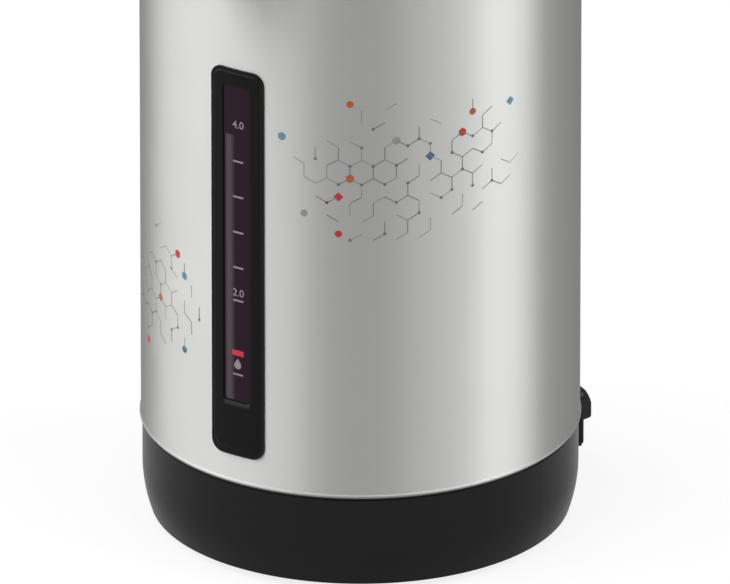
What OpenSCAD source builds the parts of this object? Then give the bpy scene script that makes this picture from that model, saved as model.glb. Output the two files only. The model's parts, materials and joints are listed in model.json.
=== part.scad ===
// Electric thermo pot: an insulated hot water dispenser that stands on a turntable.
// Millimetres, +Z up. The origin is on the table, on the pot's centre line, and the spout points along -Y.

/* [Body] */
// Outer diameter of the sheet metal case
body_d = 205; // [200:1:215]
// Height of the case between the base and the top frame
case_h = 282; // [270:1:290]
// Thickness of the case's sheet
case_wall = 0.8; // [0.5:0.1:1]
// Radius of the rolled bead along the case's lower edge
hem_r = 0.9; // [0.6:0.1:1.2]
// Width of the dark joint between the case and the base
joint_gap = 1.4; // [0.4:0.1:1.4]

/* [Base] */
// Height of the joint between the base and the case above the table
base_h = 48; // [48:1:56]
// Wall of the base housing
base_wall = 2.5; // [2:0.1:2.8]
// Step from the case's skin in to the base's skin
base_step = 0.6; // [0.2:0.1:1]
// Radius of the curve that tucks the base in towards the table
base_curve_r = 65; // [50:1:65]
// Height at which that curve starts
base_curve_z = 25; // [24:1:28]
// Height of the base's lower edge above the table
rim_z = 3.2; // [2.6:0.2:4]
// Height of the locating lip inside the case
lip_h = 6; // [4:0.5:8]

/* [Turntable] */
// Diameter of the turntable
turntable_d = 168; // [150:1:170]
// Thickness of the turntable's plate
turntable_t = 3; // [2.6:0.1:3.2]
// Height that the rubber ring stands proud of the plate
foot_t = 1.6; // [1.2:0.1:2]
// Width of the rubber ring
foot_w = 10; // [6:1:16]
// Mean diameter of the glide ring that carries the pot
glide_d = 126; // [110:1:140]
// Width of the glide ring
glide_w = 6; // [4:0.5:8]
// Diameter of the sleeve that the turntable turns on
pivot_d = 18; // [14:0.5:20]

/* [Bottom cover] */
// Height of the cover's underside
cover_z = 8; // [7.8:0.1:9]
// Thickness of the cover
cover_t = 2.5; // [2:0.1:3]
// Radius at which the cover is screwed to the base
cover_screw_r = 89; // [88.4:0.1:90]

/* [Power inlet] */
// Direction of the inlet, in degrees from the spout towards +X
inlet_angle = 150; // [140:1:165]
// Width of the inlet's flange
inlet_w = 50; // [46:1:50]
// Height of the inlet's flange
inlet_h = 26.5; // [25:0.5:27]
// How far the hood stands out from the flange
hood_out = 7; // [4:0.2:8]
// Diameter of a contact pin
contact_d = 3.2; // [2.4:0.1:3.6]
// Distance between the two contact pins
contact_pitch = 14; // [12:0.5:16]

/* [Tank] */
// Gap between the tank and the case
tank_gap = 15.9; // [15.9:0.1:18]
// Thickness of the tank's steel
tank_wall = 0.8; // [0.6:0.1:1]
// Height of the tank's underside
tank_z = 55.2; // [55.2:0.2:60]
// Gap between the lid's plug and the wall of the tank's mouth
plug_gap = 3.7; // [2.6:0.1:4.2]
// Height of the straight mouth
mouth_h = 19; // [17:1:22]
// Outer diameter of the tank's flange
flange_d = 176; // [174:0.5:177]

/* [Heater and pump] */
// Diameter of the heater plate
heater_d = 92; // [90:1:96]
// Thickness of the heater plate
heater_t = 2.6; // [2:0.1:3]
// Distance from the pot's axis to the pump's axis
pump_r = 60; // [59:0.5:61]
// Outer diameter of the pump's body
pump_d = 37; // [35:0.5:38]
// Diameter of the motor
motor_d = 27; // [24:0.5:28]
// Diameter of the impeller
impeller_d = 29; // [24:0.5:30]
// Diameter of the pump's shaft
shaft_d = 2; // [1.6:0.1:3]
// Number of impeller blades
blade_count = 6; // [4:1:8]

/* [Water path] */
// Outer diameter of the gauge glass and of the spigots that the hoses fit
pipe_d = 9; // [8:0.1:9.4]
// Wall of the gauge glass and of the pipes
pipe_wall = 1.2; // [1:0.1:1.4]
// Wall of the silicone hoses
hose_wall = 1.25; // [1:0.05:1.3]
// How far the spout's outlet stands in front of the case
outlet_y = 33.5; // [29.5:0.5:35.5]
// Bore of the nozzle
nozzle_bore_d = 8; // [6:0.1:8.4]

/* [Gauge] */
// Width of the gauge bezel
bezel_w = 28.7; // [28:0.1:34]
// Height of the gauge bezel
bezel_h = 194.5; // [190:0.5:200]
// Height of the bezel's lower edge above the base joint
bezel_up = 15; // [12:0.5:20]
// Corner radius of the bezel
bezel_corner = 6; // [4:0.5:8]
// How far the bezel stands out from the case
bezel_proud = 1.1; // [0.8:0.1:1.6]
// Width of the gauge window
window_w = 14.6; // [12.6:0.1:15]
// Height of the gauge window
window_h = 158.5; // [150:0.5:162]
// Height of the window's lower edge above the bezel's
window_up = 27.5; // [24:0.5:30]

/* [Top frame] */
// Height of the top frame above the case
frame_h = 26; // [25:0.5:30]
// Radius of the frame's rounded shoulder
shoulder_r = 12; // [10:0.5:12]
// Wall of the top frame's mouldings
frame_wall = 2.4; // [2:0.1:2.6]
// Width of the spout's beak
beak_w = 60; // [58:1:66]
// How far the beak reaches in front of the case
beak_y = 49.5; // [47.5:0.5:53.5]
// How far the beak hangs below the case's top edge
beak_drop = 7; // [6:0.5:9]
// How far the beak's top falls towards its front
beak_fall = 10; // [8:0.5:11]

/* [Lid] */
// Diameter of the lid
lid_d = 181.8; // [180:0.2:182]
// Height of the lid's crown above its rim
lid_crown = 12; // [8:0.5:14]
// Wall of the lid's mouldings
lid_wall = 2; // [1.6:0.1:2.4]
// Diameter of the lid's plug
plug_d = 137; // [130:1:138]
// Depth of the plug below the lid's flange
plug_h = 18.6; // [16:0.2:20]
// Diameter of the air pump's press plate
press_d = 84; // [76:1:88]
// Travel of the press plate
press_travel = 16; // [12:1:18]
// Number of folds in the bellows
fold_count = 5; // [4:1:6]
// Diameter of the lid's hinge pin
hinge_pin_d = 4; // [3:0.1:4.4]

/* [Handle] */
// Height of the handle's pivots above the case's top edge
handle_up = 7.5; // [6:0.5:9]
// Thickness of the handle's bow
bow_t = 5; // [4:0.5:6]
// Width of the handle's bow
bow_w = 14; // [12:0.5:16]
// Distance that the bow is carried behind the pivots
bow_shift = 12; // [10:1:20]
// Diameter of the handle's pivot pins
handle_pin_d = 6; // [5:0.2:7]

/* [Buttons] */
// Diameter of the dispense button
dispense_d = 18; // [14:0.5:19]
// Diameter of the two small buttons
key_d = 10; // [8:0.5:11]
// Travel of the buttons
key_travel = 1.2; // [0.8:0.1:1.3]

/* [Hidden] */
$fn = 96;
eps = 0.01;
clear = 0.3;         // between parts that are simply put together
slip = 0.05;         // radial clearance of a shaft in its bore
snug = 0.1;          // between parts of one assembly that face each other

// Case
body_r = body_d / 2;
case_z0 = base_h + joint_gap / 4;
case_z1 = base_h + case_h;
case_in = body_r - case_wall;

// Base
base_r = body_r - base_step;
base_top = case_z0 - joint_gap;
lip_r = case_in - clear;
lip_wall = 2.4;
curve_c = base_r - base_curve_r;
function base_in(z) = curve_c + sqrt(pow(base_curve_r - base_wall, 2) - pow(max(0, base_curve_z - z), 2));
boss_r = 4;
rib_t = 2.4;

// Bottom cover and turntable
cover_z1 = cover_z + cover_t;
cover_r = base_in(cover_z) - clear;
cover_screw_angles = [20, 100, 190, 260];
cover_screw_d = 3;
screw_head_d = 5.6;
screw_head_t = 1.6;
table_z1 = foot_t + turntable_t;
sleeve_z = foot_t + 1.6;
washer_t = 1.2;
washer_r = pivot_d / 2 + 4;
pivot_screw_d = 5;
pivot_head_t = 1.1;
pillar_z1 = cover_z1 + 5.5;
foot_r = turntable_d / 2 - 2;
pad_t = sleeve_z - washer_t - pivot_head_t - 0.2;

vent_angles = [30:20:150];
vent_w = 3;
vent_r0 = 34;
vent_r1 = 56;

// Power board
board_x = -34;
board_y = 40;
board_l = 62;
board_w = 40;
board_t = 1.6;
board_turn = 40;
board_z0 = cover_z1 + 5.5;
board_posts = [for (x = [-1, 1], y = [-1, 1]) [x * (board_l / 2 - 5), y * (board_w / 2 - 5), 0]];
post_r = 3;
wire_r = 0.9;
wire_z = board_z0 + board_t + wire_r;

// Inlet
pad_y = base_r + 0.4;
flange_t = 1.75;
inlet_y = pad_y + snug + flange_t;
inlet_z1 = base_top - 0.5;
inlet_z0 = inlet_z1 - inlet_h;
flange_corner = 2;
socket_corner = 2;
socket_w = 31;
socket_h = 14;
box_w = socket_w + 5;
box_h = socket_h + 4;
socket_y = inlet_y - 13;
socket_back = 3;
hood_w = 38;
// The hood's side from its top round to its underside: share of hood_out, and depth below the flange's top
hood_line = [[-0.15, 0], [0.3, 0], [0.57, 1.9], [0.76, 4.2], [0.91, 6.6], [1, 8.7], [1, 15.4], [0.93, 16.2],
  [-0.15, 17.6]];
contact_z = inlet_z1 - 16.5;
contact_out = 7;
tail_d = contact_d * 0.75;
tail_out = 9;

// Tank
tank_r = case_in - tank_gap;
plug_r = plug_d / 2;
mouth_r = plug_r + plug_gap + tank_wall;
flange_r = flange_d / 2;
flange_z = case_z1 + 7;
ring_w = flange_r - mouth_r;
seal_r = flange_r - 0.36 * ring_w;      // the tank gasket lies outside this radius, the lid's gasket inside
mouth_z0 = flange_z - mouth_h;
shoulder_h = 16;
shoulder_z = mouth_z0 - shoulder_h;
tank_corner = 12;
nipple_r = 6.5;
nipple_wall = 1.5;
nipple_z0 = tank_z - 8.6;

// Heater
heater_y = 12;
heater_z0 = tank_z - heater_t;
main_ring_r = 36;
main_tube_r = 3.4;
warm_ring_r = 24;
warm_tube_r = 2.6;
stud_ring_r = heater_d / 2 - 3;
stud_r = 1.5;
stud_angles = [0, 120, 240];
nut_r = 2.9;
nut_h = 2.4;
terminal_h = 9;
thermostat_r = 8;
fuse_r = 1.8;
fuse_l = 14;

// Pump
motor_z1 = cover_z1 + 18.5;
pump_z1 = nipple_z0 - 5.6;
pump_wall = 1.5;
chamber_z0 = motor_z1 + pump_wall;
chamber_z1 = pump_z1 - pump_wall;
stub_z1 = nipple_z0 - 1;
outlet_z = motor_z1 + 6;
impeller_z0 = chamber_z0 + 0.7;
impeller_z1 = chamber_z1 - 1.5;
cup_wall = 2.2;
cup_r = motor_d / 2 + clear + cup_wall;
cup_h = 7;

// Gauge and water path
pipe_r = pipe_d / 2;
pipe_in = pipe_r - pipe_wall;
hose_in = pipe_r + slip;
hose_r = hose_in + hose_wall;
tube_y = tank_r + 0.9 + hose_r;
hose_bend = 9;
hose_z1 = tank_z + 10.8;
tube_z0 = hose_z1 - 14;
tube_z1 = case_z1 - 18;
seal_z0 = tube_z1 - 10;
run_z = case_z1 + 3.5;
run_bend = 8;
duct_z0 = tube_z1 + 1;
valve_r = 7;
valve_y0 = tube_y + run_bend + 7.5;
nozzle_y = body_r + outlet_y;
valve_y1 = nozzle_y - run_bend - 4;
valve_in = 5.4;
valve_end = 2;
ball_r = 4.6;
ball_y = valve_y0 + valve_end + ball_r + 0.2;
ball_travel = valve_y1 - valve_end - ball_r - 0.2 - ball_y;
bezel_z0 = base_h + bezel_up;
bezel_z1 = bezel_z0 + bezel_h;
window_z0 = bezel_z0 + window_up;
window_z1 = window_z0 + window_h;
bezel_lap = 2;
window_corner = 2;
plug_in = 4;
channel_wall = 0.8;

// Top frame
frame_z0 = case_z1 + 0.6;
frame_r = body_r + 0.4;
frame_top = case_z1 + frame_h;
skirt_h = 10;
skirt_in = lip_r - 2.2;
recess_r = lid_d / 2 + 0.7;
recess_edge = 1.2;                      // bevel along the top of the recess
deck_z1 = flange_z + 5;
deck_z0 = deck_z1 - frame_wall;
deck_in = seal_r;
shoulder_c = frame_r - shoulder_r;
shoulder_z0 = frame_top - shoulder_r;
hinge_y = recess_r - 1.2;
hinge_z = frame_top - 5;
block_y = hinge_y - 8;
block_hw = sqrt(recess_r * recess_r - block_y * block_y);
knuckle_r = 4.4;
knuckle_x0 = 13;
knuckle_x1 = 24;
hinge_half = 28;
slot_clear = 0.4;
knuckle_x = (knuckle_x0 + knuckle_x1) / 2;
knuckle_w = knuckle_x1 - knuckle_x0;
slot_w = knuckle_w + 2 * slot_clear;
beak_corner = 22;
beak_z0 = case_z1 - beak_drop;
beak_tip = 8;
beak_front = body_r + beak_y;
slope = atan(beak_fall / (beak_front - recess_r));
under_t = 2.4;
under_z0 = beak_z0 + 0.2;
under_z1 = under_z0 + under_t;
panel_w = 50;
panel_l = 46;
panel_y = 6;
panel_t = 1.2;
panel_corner = 6;
control_t = 1.4;
control_z = -7.6;
board_y0 = 9;
board_len = panel_l - panel_y;
pillar_x = [-21, 21];
pillar_y = [-12, -46];
pillar_r = 2.2;
dispense_y = -40;
key_x = 14;
key_y = -17;
led_x = [-5, 0, 5];
led_d = 2.4;
switch_h = 1.6;
boss_x = frame_r + 3.1;
handle_boss_r = 10;
harness_r = 1.5;
harness_angle = 210;
harness_out = skirt_in - harness_r - 0.4;
harness_z = case_z1 - 9;
stop_y = 10.5;
stop_t = 2.6;

// Tie rods
tie_r = tank_r + 7.7;
tie_d = 3.6;
tie_angles = [55, 125, 235, 305];
tie_z0 = base_top - 14;
tie_boss_z0 = base_top - 17;
tie_z1 = flange_z;

// Lid
lid_r = lid_d / 2;
lid_z0 = deck_z1 + 0.8;
lid_flange_z1 = lid_z0 + lid_wall;
rim_top = frame_top - 0.4;
crown_z = rim_top + lid_crown;
crown_r = (lid_r * lid_r + lid_crown * lid_crown) / (2 * lid_crown);
chord_y = block_y - 1;
chord_hw = 36;
press_r = press_d / 2;
guide_r = press_r + 0.6;
guide_wall = 2;
function crown_at(r) = crown_z - crown_r + sqrt(crown_r * crown_r - r * r);
press_z1 = crown_at(guide_r) + 3.6;
press_t = 3;
press_skirt = 18;
dish_r = 160;
plug_z0 = lid_flange_z1 - plug_h;
plug_floor = plug_z0 + lid_wall;
cover_plate_t = 2.4;
air_hole_r = 3;
bellows_z0 = plug_floor + snug;
bellows_z1 = press_z1 - press_t - snug;
bellows_out = press_r - 5;
bellows_in = bellows_out - 6;
bellows_wall = 1;
spring_r = 14;
spring_wire = 1;
gasket_r0 = mouth_r + ring_w / 10;
gasket_r1 = gasket_r0 + ring_w * 11 / 30;
gasket_z0 = flange_z + tank_wall + clear;
latch_w = 28;
latch_gap = latch_w / 2 + clear;
pad_y0 = 72;
pad_y1 = 84;
latch_z = deck_z1 + 3;
latch_travel = 4;
latch_nose_z = latch_z + 2.2;
slide_z = crown_at(pad_y1) - 2 * lid_wall - 0.9;
steam_y = 54;
steam_l = 12;
lid_top = crown_z + 5;

// Handle
handle_z = case_z1 + handle_up;
bow_in = boss_x + clear;
bow_out = bow_in + bow_t;
hub_r = 10;
pin_in = 7;
grip_angle = 56;
grip_skin = 1.6;

// ---- Shared shapes ----

// A round tube on the Z axis.
module tube(r0, r1, z0, z1) {
  translate([0, 0, z0]) difference() {
    cylinder(r = r1, h = z1 - z0);
    translate([0, 0, -1]) cylinder(r = r0, h = z1 - z0 + 2);
  }
}

// A disc on the Z axis.
module disc(r, z0, z1) {
  translate([0, 0, z0]) cylinder(r = r, h = z1 - z0);
}

// A box between two corners.
module block(low, high) {
  translate(low) cube(high - low);
}

// A centred rectangle with round corners.
module rounded_rect(w, h, r) {
  square([w - 2 * r, h], center = true);
  square([w, h - 2 * r], center = true);
  for (x = [-1, 1], y = [-1, 1]) translate([x * (w / 2 - r), y * (h / 2 - r)]) circle(r = r);
}

// Extrudes a front view, drawn in X and Z, from y0 out to y1 along -Y.
module out_front(y0, y1) {
  translate([0, -y0, 0]) rotate([90, 0, 0]) linear_extrude(y1 - y0) children();
}

// Extrudes a side view, drawn in Y and Z, to half width hw on both sides of X = 0.
module across(hw) {
  rotate([90, 0, 90]) translate([0, 0, -hw]) linear_extrude(2 * hw) children();
}

// A plate that follows the case: radii r0 to r1, a rounded rectangle seen from the front.
module curved_plate(r0, r1, w, z0, z1, corner) {
  intersection() {
    tube(r0, r1, z0 - 1, z1 + 1);
    out_front(r0 * 0.7, r1 + 5) translate([0, (z0 + z1) / 2]) rounded_rect(w, z1 - z0, corner);
  }
}

// Turns the front, -Y, to an angle measured towards +X.
module at_angle(a) {
  rotate([0, 0, a]) children();
}

// Moves the Z axis to the tie rod at angle a.
module at_tie(a) {
  at_angle(a) translate([0, -tie_r, 0]) children();
}

// Moves the Z axis to the pump's axis.
module at_pump() {
  translate([0, -pump_r, 0]) children();
}

// The room that the tank's flange and its gasket leave for the bosses of the tie rods.
module tie_ways() {
  for (a = tie_angles) at_tie(a) disc(boss_r + clear, flange_z - 1, deck_z0 + 1);
}

// A round rod along -Y at height z.
module rod_out(r, y0, y1, z) {
  translate([0, -y0, z]) rotate([90, 0, 0]) cylinder(r = r, h = y1 - y0);
}

// A quarter bend in the YZ plane round the centre (y, z), of centreline radius bend, from one angle on.
module quarter(y, z, bend, r, from) {
  translate([0, y, z]) rotate([90, 0, 90]) rotate([0, 0, from])
    rotate_extrude(angle = 90) translate([bend, 0]) circle(r = r);
}

function unit(v) = v / norm(v);
function tangent(p, i) = unit(p[min(i + 1, len(p) - 1)] - p[max(i - 1, 0)]);

// The part of u that is square to the unit vector t.
function square_to(u, t) = unit(u - (u * t) * t);

// A side direction at each point of p, carried along the path so that it doesn't twist.
function sides_along(p) = [for (i = 0, u = square_to([0.31, 0.52, 0.79], tangent(p, 0)); i < len(p);
  i = i + 1, u = square_to(u, tangent(p, min(i, len(p) - 1)))) u];

// A wire of radius r through the points p, as one closed polyhedron.
module wire(p, r, sides = 8) {
  side = sides_along(p);
  rings = [for (i = [0:len(p) - 1]) let (v = cross(tangent(p, i), side[i]))
    for (k = [0:sides - 1]) p[i] + r * (cos(360 * k / sides) * side[i] + sin(360 * k / sides) * v)];
  last = (len(p) - 1) * sides;
  walls = [for (i = [0:len(p) - 2], k = [0:sides - 1], half = [0, 1])
    let (n = (k + 1) % sides, a = i * sides, b = a + sides)
    half == 0 ? [a + k, a + n, b + n] : [a + k, b + n, b + k]];
  ends = [[for (k = [sides - 1:-1:0]) k], [for (k = [0:sides - 1]) last + k]];
  polyhedron(points = rings, faces = concat(walls, ends));
}

// Points on a straight line from a to b, n steps, without the last one.
function run(a, b, n) = [for (i = [0:n - 1]) a + (b - a) * i / n];

// A coil spring on the Z axis.
module spring(r, wire_r, z0, z1, turns, steps = 14) {
  wire([for (i = [0:turns * steps]) [r * cos(360 * i / steps), r * sin(360 * i / steps),
    z0 + wire_r + (z1 - z0 - 2 * wire_r) * i / (turns * steps)]], wire_r);
}

// Turns the Z axis out along the handle's pivot axis, to the side s = -1 or 1.
module at_handle(s) {
  translate([0, 0, handle_z]) rotate([0, s * 90, 0]) children();
}

// Turns the Z axis to the lid's hinge axis, along +X.
module at_hinge() {
  translate([0, hinge_y, hinge_z]) rotate([0, 90, 0]) children();
}

// Puts children on the beak's sloping top: local -Y runs down the slope and +Z is its normal.
module on_slope() {
  translate([0, -recess_r, frame_top]) rotate([slope, 0, 0]) children();
}

// ---- Turntable ----

module turntable_plate() {
  color("#26272a") difference() {
    union() {
      disc(turntable_d / 2, foot_t, table_z1);
      tube(pivot_d / 2 + slip, pivot_d / 2 + 5, foot_t, cover_z - 0.6);
    }
    disc(pivot_d / 2 + slip, 0, cover_z);
    disc(washer_r + 1, 0, sleeve_z + snug);
    tube(foot_r - foot_w - snug, foot_r + snug, 0, foot_t + 1);
  }
}

module rubber_feet() {
  color("#1b1b1b") {
    tube(foot_r - foot_w, foot_r, 0, foot_t + 1);
    // pad under the pivot screw
    disc(washer_r + 5, 0, pad_t);
    tube(washer_r + 2, washer_r + 5, 0, foot_t);
  }
}

module glide_ring() {
  color("#e8e6df") tube(glide_d / 2 - glide_w / 2, glide_d / 2 + glide_w / 2, table_z1, cover_z - snug);
}

// ---- Base ----

// The base's outline moved in by inset, between two heights.
module base_outline(inset, z0, z1) {
  intersection() {
    union() {
      translate([0, z0]) square([curve_c, z1 - z0]);
      translate([0, base_curve_z]) square([base_r - inset, z1 - base_curve_z]);
      intersection() {
        translate([curve_c, base_curve_z]) circle(r = base_curve_r - inset, $fn = 256);
        translate([0, z0]) square([base_r, base_curve_z - z0]);
      }
    }
    translate([0, z0]) square([base_r, z1 - z0]);
  }
}

module cover_boss() {
  translate([0, -cover_screw_r, cover_z1]) cylinder(r = boss_r, h = 14);
  block([-rib_t / 2, -base_in(cover_z1) - 0.6, cover_z1], [rib_t / 2, -cover_screw_r, cover_z1 + 14]);
}

module tie_boss() {
  translate([0, -tie_r, tie_boss_z0]) cylinder(r = boss_r, h = base_top + lip_h - 3 - tie_boss_z0);
  block([-rib_t / 2, -base_r + base_wall / 2, tie_boss_z0], [rib_t / 2, -tie_r, base_top]);
}

module base_housing() {
  color("#2a2b2d") difference() {
    union() {
      rotate_extrude($fn = 180) difference() {
        base_outline(0, rim_z, base_top);
        base_outline(base_wall, rim_z - 1, base_top + 1);
      }
      tube(lip_r - lip_wall, lip_r, base_top - 4, base_top + lip_h);
      for (a = cover_screw_angles) at_angle(a) cover_boss();
      for (a = tie_angles) at_angle(a) tie_boss();
      at_angle(inlet_angle) out_front(base_r - 5, pad_y)
        inlet_outline(inlet_w + 4, inlet_h + 0.4, flange_corner, inlet_z0 + inlet_h / 2);
    }
    for (a = cover_screw_angles) at_angle(a)
      translate([0, -cover_screw_r, cover_z]) cylinder(d = cover_screw_d + 2 * slip, h = 12);
    for (a = tie_angles) at_angle(a)
      translate([0, -tie_r, tie_z0]) cylinder(d = tie_d + 2 * snug, h = base_h);
    at_angle(inlet_angle) out_front(base_r - 9, pad_y + 1)
      inlet_outline(box_w + 2 * snug, box_h + 2 * snug, socket_corner, contact_z);
  }
}

// Puts children on the power board: local Z = 0 is its underside.
module on_board() {
  translate([board_x, board_y, board_z0]) rotate([0, 0, board_turn]) children();
}

module bottom_cover() {
  color("#2c2d30") difference() {
    union() {
      disc(cover_r, cover_z, cover_z1);
      disc(pivot_d / 2, sleeve_z, pillar_z1);
      at_pump() tube(cup_r - cup_wall, cup_r, cover_z1 - 1, cover_z1 + cup_h);
      on_board() for (p = board_posts) translate(p) disc(post_r, cover_z1 - board_z0 - 1, 0);
    }
    disc(pivot_screw_d / 2 + slip, 0, pillar_z1 + 1);
    for (a = cover_screw_angles) at_angle(a) translate([0, -cover_screw_r, 0])
      disc(cover_screw_d / 2 + snug, 0, cover_z1 + 1);
    for (a = vent_angles) at_angle(a) block([-vent_w / 2, -vent_r1, 0], [vent_w / 2, -vent_r0, cover_z1 + 1]);
  }
}

module bottom_screws() {
  color("#b9bbbd") for (a = cover_screw_angles) at_angle(a) translate([0, -cover_screw_r, 0]) {
    disc(screw_head_d / 2, cover_z - screw_head_t, cover_z);
    disc(cover_screw_d / 2, cover_z - eps, cover_z + 11.5);
  }
}

module pivot_screw() {
  color("#b9bbbd") {
    disc(pivot_screw_d + 0.5, sleeve_z - washer_t - pivot_head_t, sleeve_z - washer_t);
    disc(pivot_screw_d / 2, sleeve_z - washer_t - eps, pillar_z1 - 1);
  }
}

module pivot_washer() {
  color("#c9cbcd") tube(pivot_screw_d / 2 + snug, washer_r, sleeve_z - washer_t, sleeve_z);
}

// ---- Power inlet ----

// A rounded rectangle at height z.
module inlet_outline(w, h, corner, z) {
  translate([0, z]) rounded_rect(w, h, corner);
}

module hood_side() {
  polygon([for (p = hood_line) [-inlet_y - p[0] * hood_out, inlet_z1 - p[1]]]);
}

module inlet_housing() {
  color("#151515") at_angle(inlet_angle) difference() {
    union() {
      out_front(pad_y + snug, inlet_y) inlet_outline(inlet_w, inlet_h, flange_corner, inlet_z0 + inlet_h / 2);
      out_front(socket_y - socket_back, inlet_y - 0.5) inlet_outline(box_w, box_h, socket_corner, contact_z);
      across(hood_w / 2) hood_side();
    }
    out_front(socket_y, inlet_y + hood_out + 5) inlet_outline(socket_w, socket_h, socket_corner, contact_z);
    for (s = [-1, 1]) translate([s * contact_pitch / 2, 0, 0])
      rod_out(tail_d / 2 + slip, socket_y - socket_back - 1, socket_y + 1, contact_z);
  }
}

module inlet_pins() {
  color("#d8c37a") at_angle(inlet_angle) for (s = [-1, 1]) translate([s * contact_pitch / 2, 0, 0]) {
    rod_out(contact_d / 2, socket_y, socket_y + contact_out, contact_z);
    rod_out(tail_d / 2, socket_y - tail_out, socket_y + eps, contact_z);
  }
}

module inlet_magnets() {
  color("#9a9ca0") at_angle(inlet_angle) for (s = [-1, 1])
    block([s * 12 - 1.5, -socket_y - 2.5, contact_z - 4.5], [s * 12 + 1.5, -socket_y, contact_z + 4.5]);
}

// ---- Electrics in the base ----

module power_board() {
  color("#2f6b46") on_board() difference() {
    block([-board_l / 2, -board_w / 2, 0], [board_l / 2, board_w / 2, board_t]);
    for (p = board_posts) translate(p) disc(cover_screw_d / 2 + snug, -1, board_t + 1);
  }
}

module power_board_parts() {
  color("#3b3f45") on_board() {
    // transformer, relay, capacitors, connector
    block([-18, -13, board_t], [4, 9, 17]);
    block([9, -14, board_t], [19, 3, 13]);
    for (x = [10, 19]) translate([x, 11, 0]) disc(3.5, board_t, 13.6);
    block([-10, 12, board_t], [2, 18, 9]);
  }
}

// Directions on the plan, from an angle measured towards +X from the front.
function out_at(a, r, z) = [r * sin(a), -r * cos(a), z];
// From an inlet contact to the power board, s = -1 or 1.
module inlet_wire(s) {
  pin = out_at(inlet_angle, socket_y - tail_out - wire_r, contact_z)
    + s * contact_pitch / 2 * [cos(inlet_angle), sin(inlet_angle), 0];
  bend = pin + [-6 - s * contact_pitch / 5, -8, -6];
  turn = [6, 66 + 2 * s, wire_z + 3];
  wire(concat(run(pin, bend, 4), run(bend, turn, 5),
    [turn, [-6, 62 + 2 * s, wire_z + 1], [-14, 58 + 2 * s, wire_z]]), wire_r);
}

// A place on the power board, from its centre along its length and width.
function board_at(x, y, z) = [board_x + x * cos(board_turn) - y * sin(board_turn),
  board_y + x * sin(board_turn) + y * cos(board_turn), z];
pads_x = 7 - board_l / 2;

// From the main heating element to the power board.
module heater_wire(s) {
  wire([[s * 5 - 36, 6 + s, heater_z0 - 7], [s * 4 - 40, 8 + s, heater_z0 - 11],
    [s * 3 - 46, 12, heater_z0 - 17], [s * 2 - 54, 18, wire_z + 8],
    board_at(pads_x - 6, 5 - 2 * s, wire_z + 2), board_at(pads_x - 2, 5 - 2 * s, wire_z),
    board_at(pads_x, 5 - 2 * s, wire_z)], wire_r);
}

// From the pump's motor to the power board.
module motor_wire(s) {
  wire([[-motor_d / 2 - 2, s * 2 - pump_r, motor_z1 - 4], [s * 2 - 24, -44, 24],
    [s * 2 - 36, -26, 21], [s * 2 - 46, -6, 20], [s * 2 - 53, 8, wire_z + 2],
    board_at(pads_x - 4, -5 - 2 * s, wire_z), board_at(pads_x, -5 - 2 * s, wire_z)], wire_r);
}

module base_wiring() {
  color("#b23a2e") for (s = [-1, 1]) {
    inlet_wire(s);
    heater_wire(s);
    motor_wire(s);
  }
}

// From the power board up behind the tank, then round inside the case to the control board.
module wire_harness() {
  low = out_at(harness_angle, harness_out, 72);
  high = out_at(harness_angle, harness_out, harness_z - 8);
  color("#8d8f92") wire(concat(
    [[-52, 50, wire_z + 1], [-56, 58, wire_z + 6]],
    [out_at(harness_angle, harness_out - 10, 42), out_at(harness_angle, harness_out - 4, 60)],
    run(low, high, 8),
    [high, out_at(harness_angle + 1.5, harness_out, harness_z - 2)],
    [for (a = [harness_angle + 6:6:348]) out_at(a, harness_out, harness_z)],
    [[-13.6, -harness_out, harness_z + 6], [-12.6, -frame_r - 3, run_z]],
    [[-12.6, -frame_r - 8, run_z + 3], [-12.6, -frame_r - 9, run_z + 9.5]]), harness_r);
}

// ---- Heater ----

// Moves the Z axis to the stud at angle a of the heater plate.
module at_stud(a) {
  at_angle(a) translate([0, -stud_ring_r, 0]) children();
}

module heater_plate() {
  color("#b8babd") translate([0, heater_y, 0]) difference() {
    disc(heater_d / 2, heater_z0, tank_z);
    for (a = stud_angles) at_stud(a) disc(stud_r + snug, heater_z0 - 1, tank_z + 1);
  }
}

// A ring element that is open over an angle, with its two terminals.
module element(r, tube_r, open) {
  inside = open / 2 + asin(0.75 * tube_r / r);
  translate([0, 0, heater_z0 - tube_r]) {
    rotate([0, 0, 180 + open / 2]) rotate_extrude(angle = 360 - open) translate([r, 0]) circle(r = tube_r);
    for (a = [-inside, inside]) rotate([0, 0, 180 + a]) translate([r, 0, 0])
      disc(tube_r * 0.55, -terminal_h, 0);
  }
}

module heater_elements() {
  color("#8c6f5a") translate([0, heater_y, 0]) {
    element(main_ring_r, main_tube_r, 24);
    element(warm_ring_r, warm_tube_r, 40);
  }
}

module heater_nuts() {
  color("#c9cbcd") translate([0, heater_y, 0]) for (a = stud_angles) at_stud(a) {
    translate([0, 0, heater_z0 - nut_h]) cylinder(r = nut_r, h = nut_h, $fn = 6);
    disc(stud_r, heater_z0 - nut_h - 1, tank_z);
  }
}

module thermostats() {
  color("#d9d2c4") translate([0, heater_y, 0]) {
    disc(thermostat_r, heater_z0 - thermostat_r, heater_z0);
    translate([-fuse_l / 2, 15, heater_z0 - fuse_r]) rotate([0, 90, 0]) cylinder(r = fuse_r, h = fuse_l);
  }
}

// ---- Tank ----

// The tank's outline moved in by inset: a cup with round corners, a cone up to the mouth, and the mouth.
module tank_outline(inset, top) {
  r = tank_r - inset;
  c = tank_corner - inset;
  z0 = tank_z + inset;
  translate([0, z0]) square([r - c, shoulder_z - z0]);
  translate([0, z0 + c]) square([r, shoulder_z - z0 - c]);
  translate([r - c, z0 + c]) circle(r = c);
  polygon([[0, shoulder_z - 1], [r, shoulder_z - 1], [r, shoulder_z], [mouth_r - inset, mouth_z0],
    [mouth_r - inset, top], [0, top]]);
}

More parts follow.
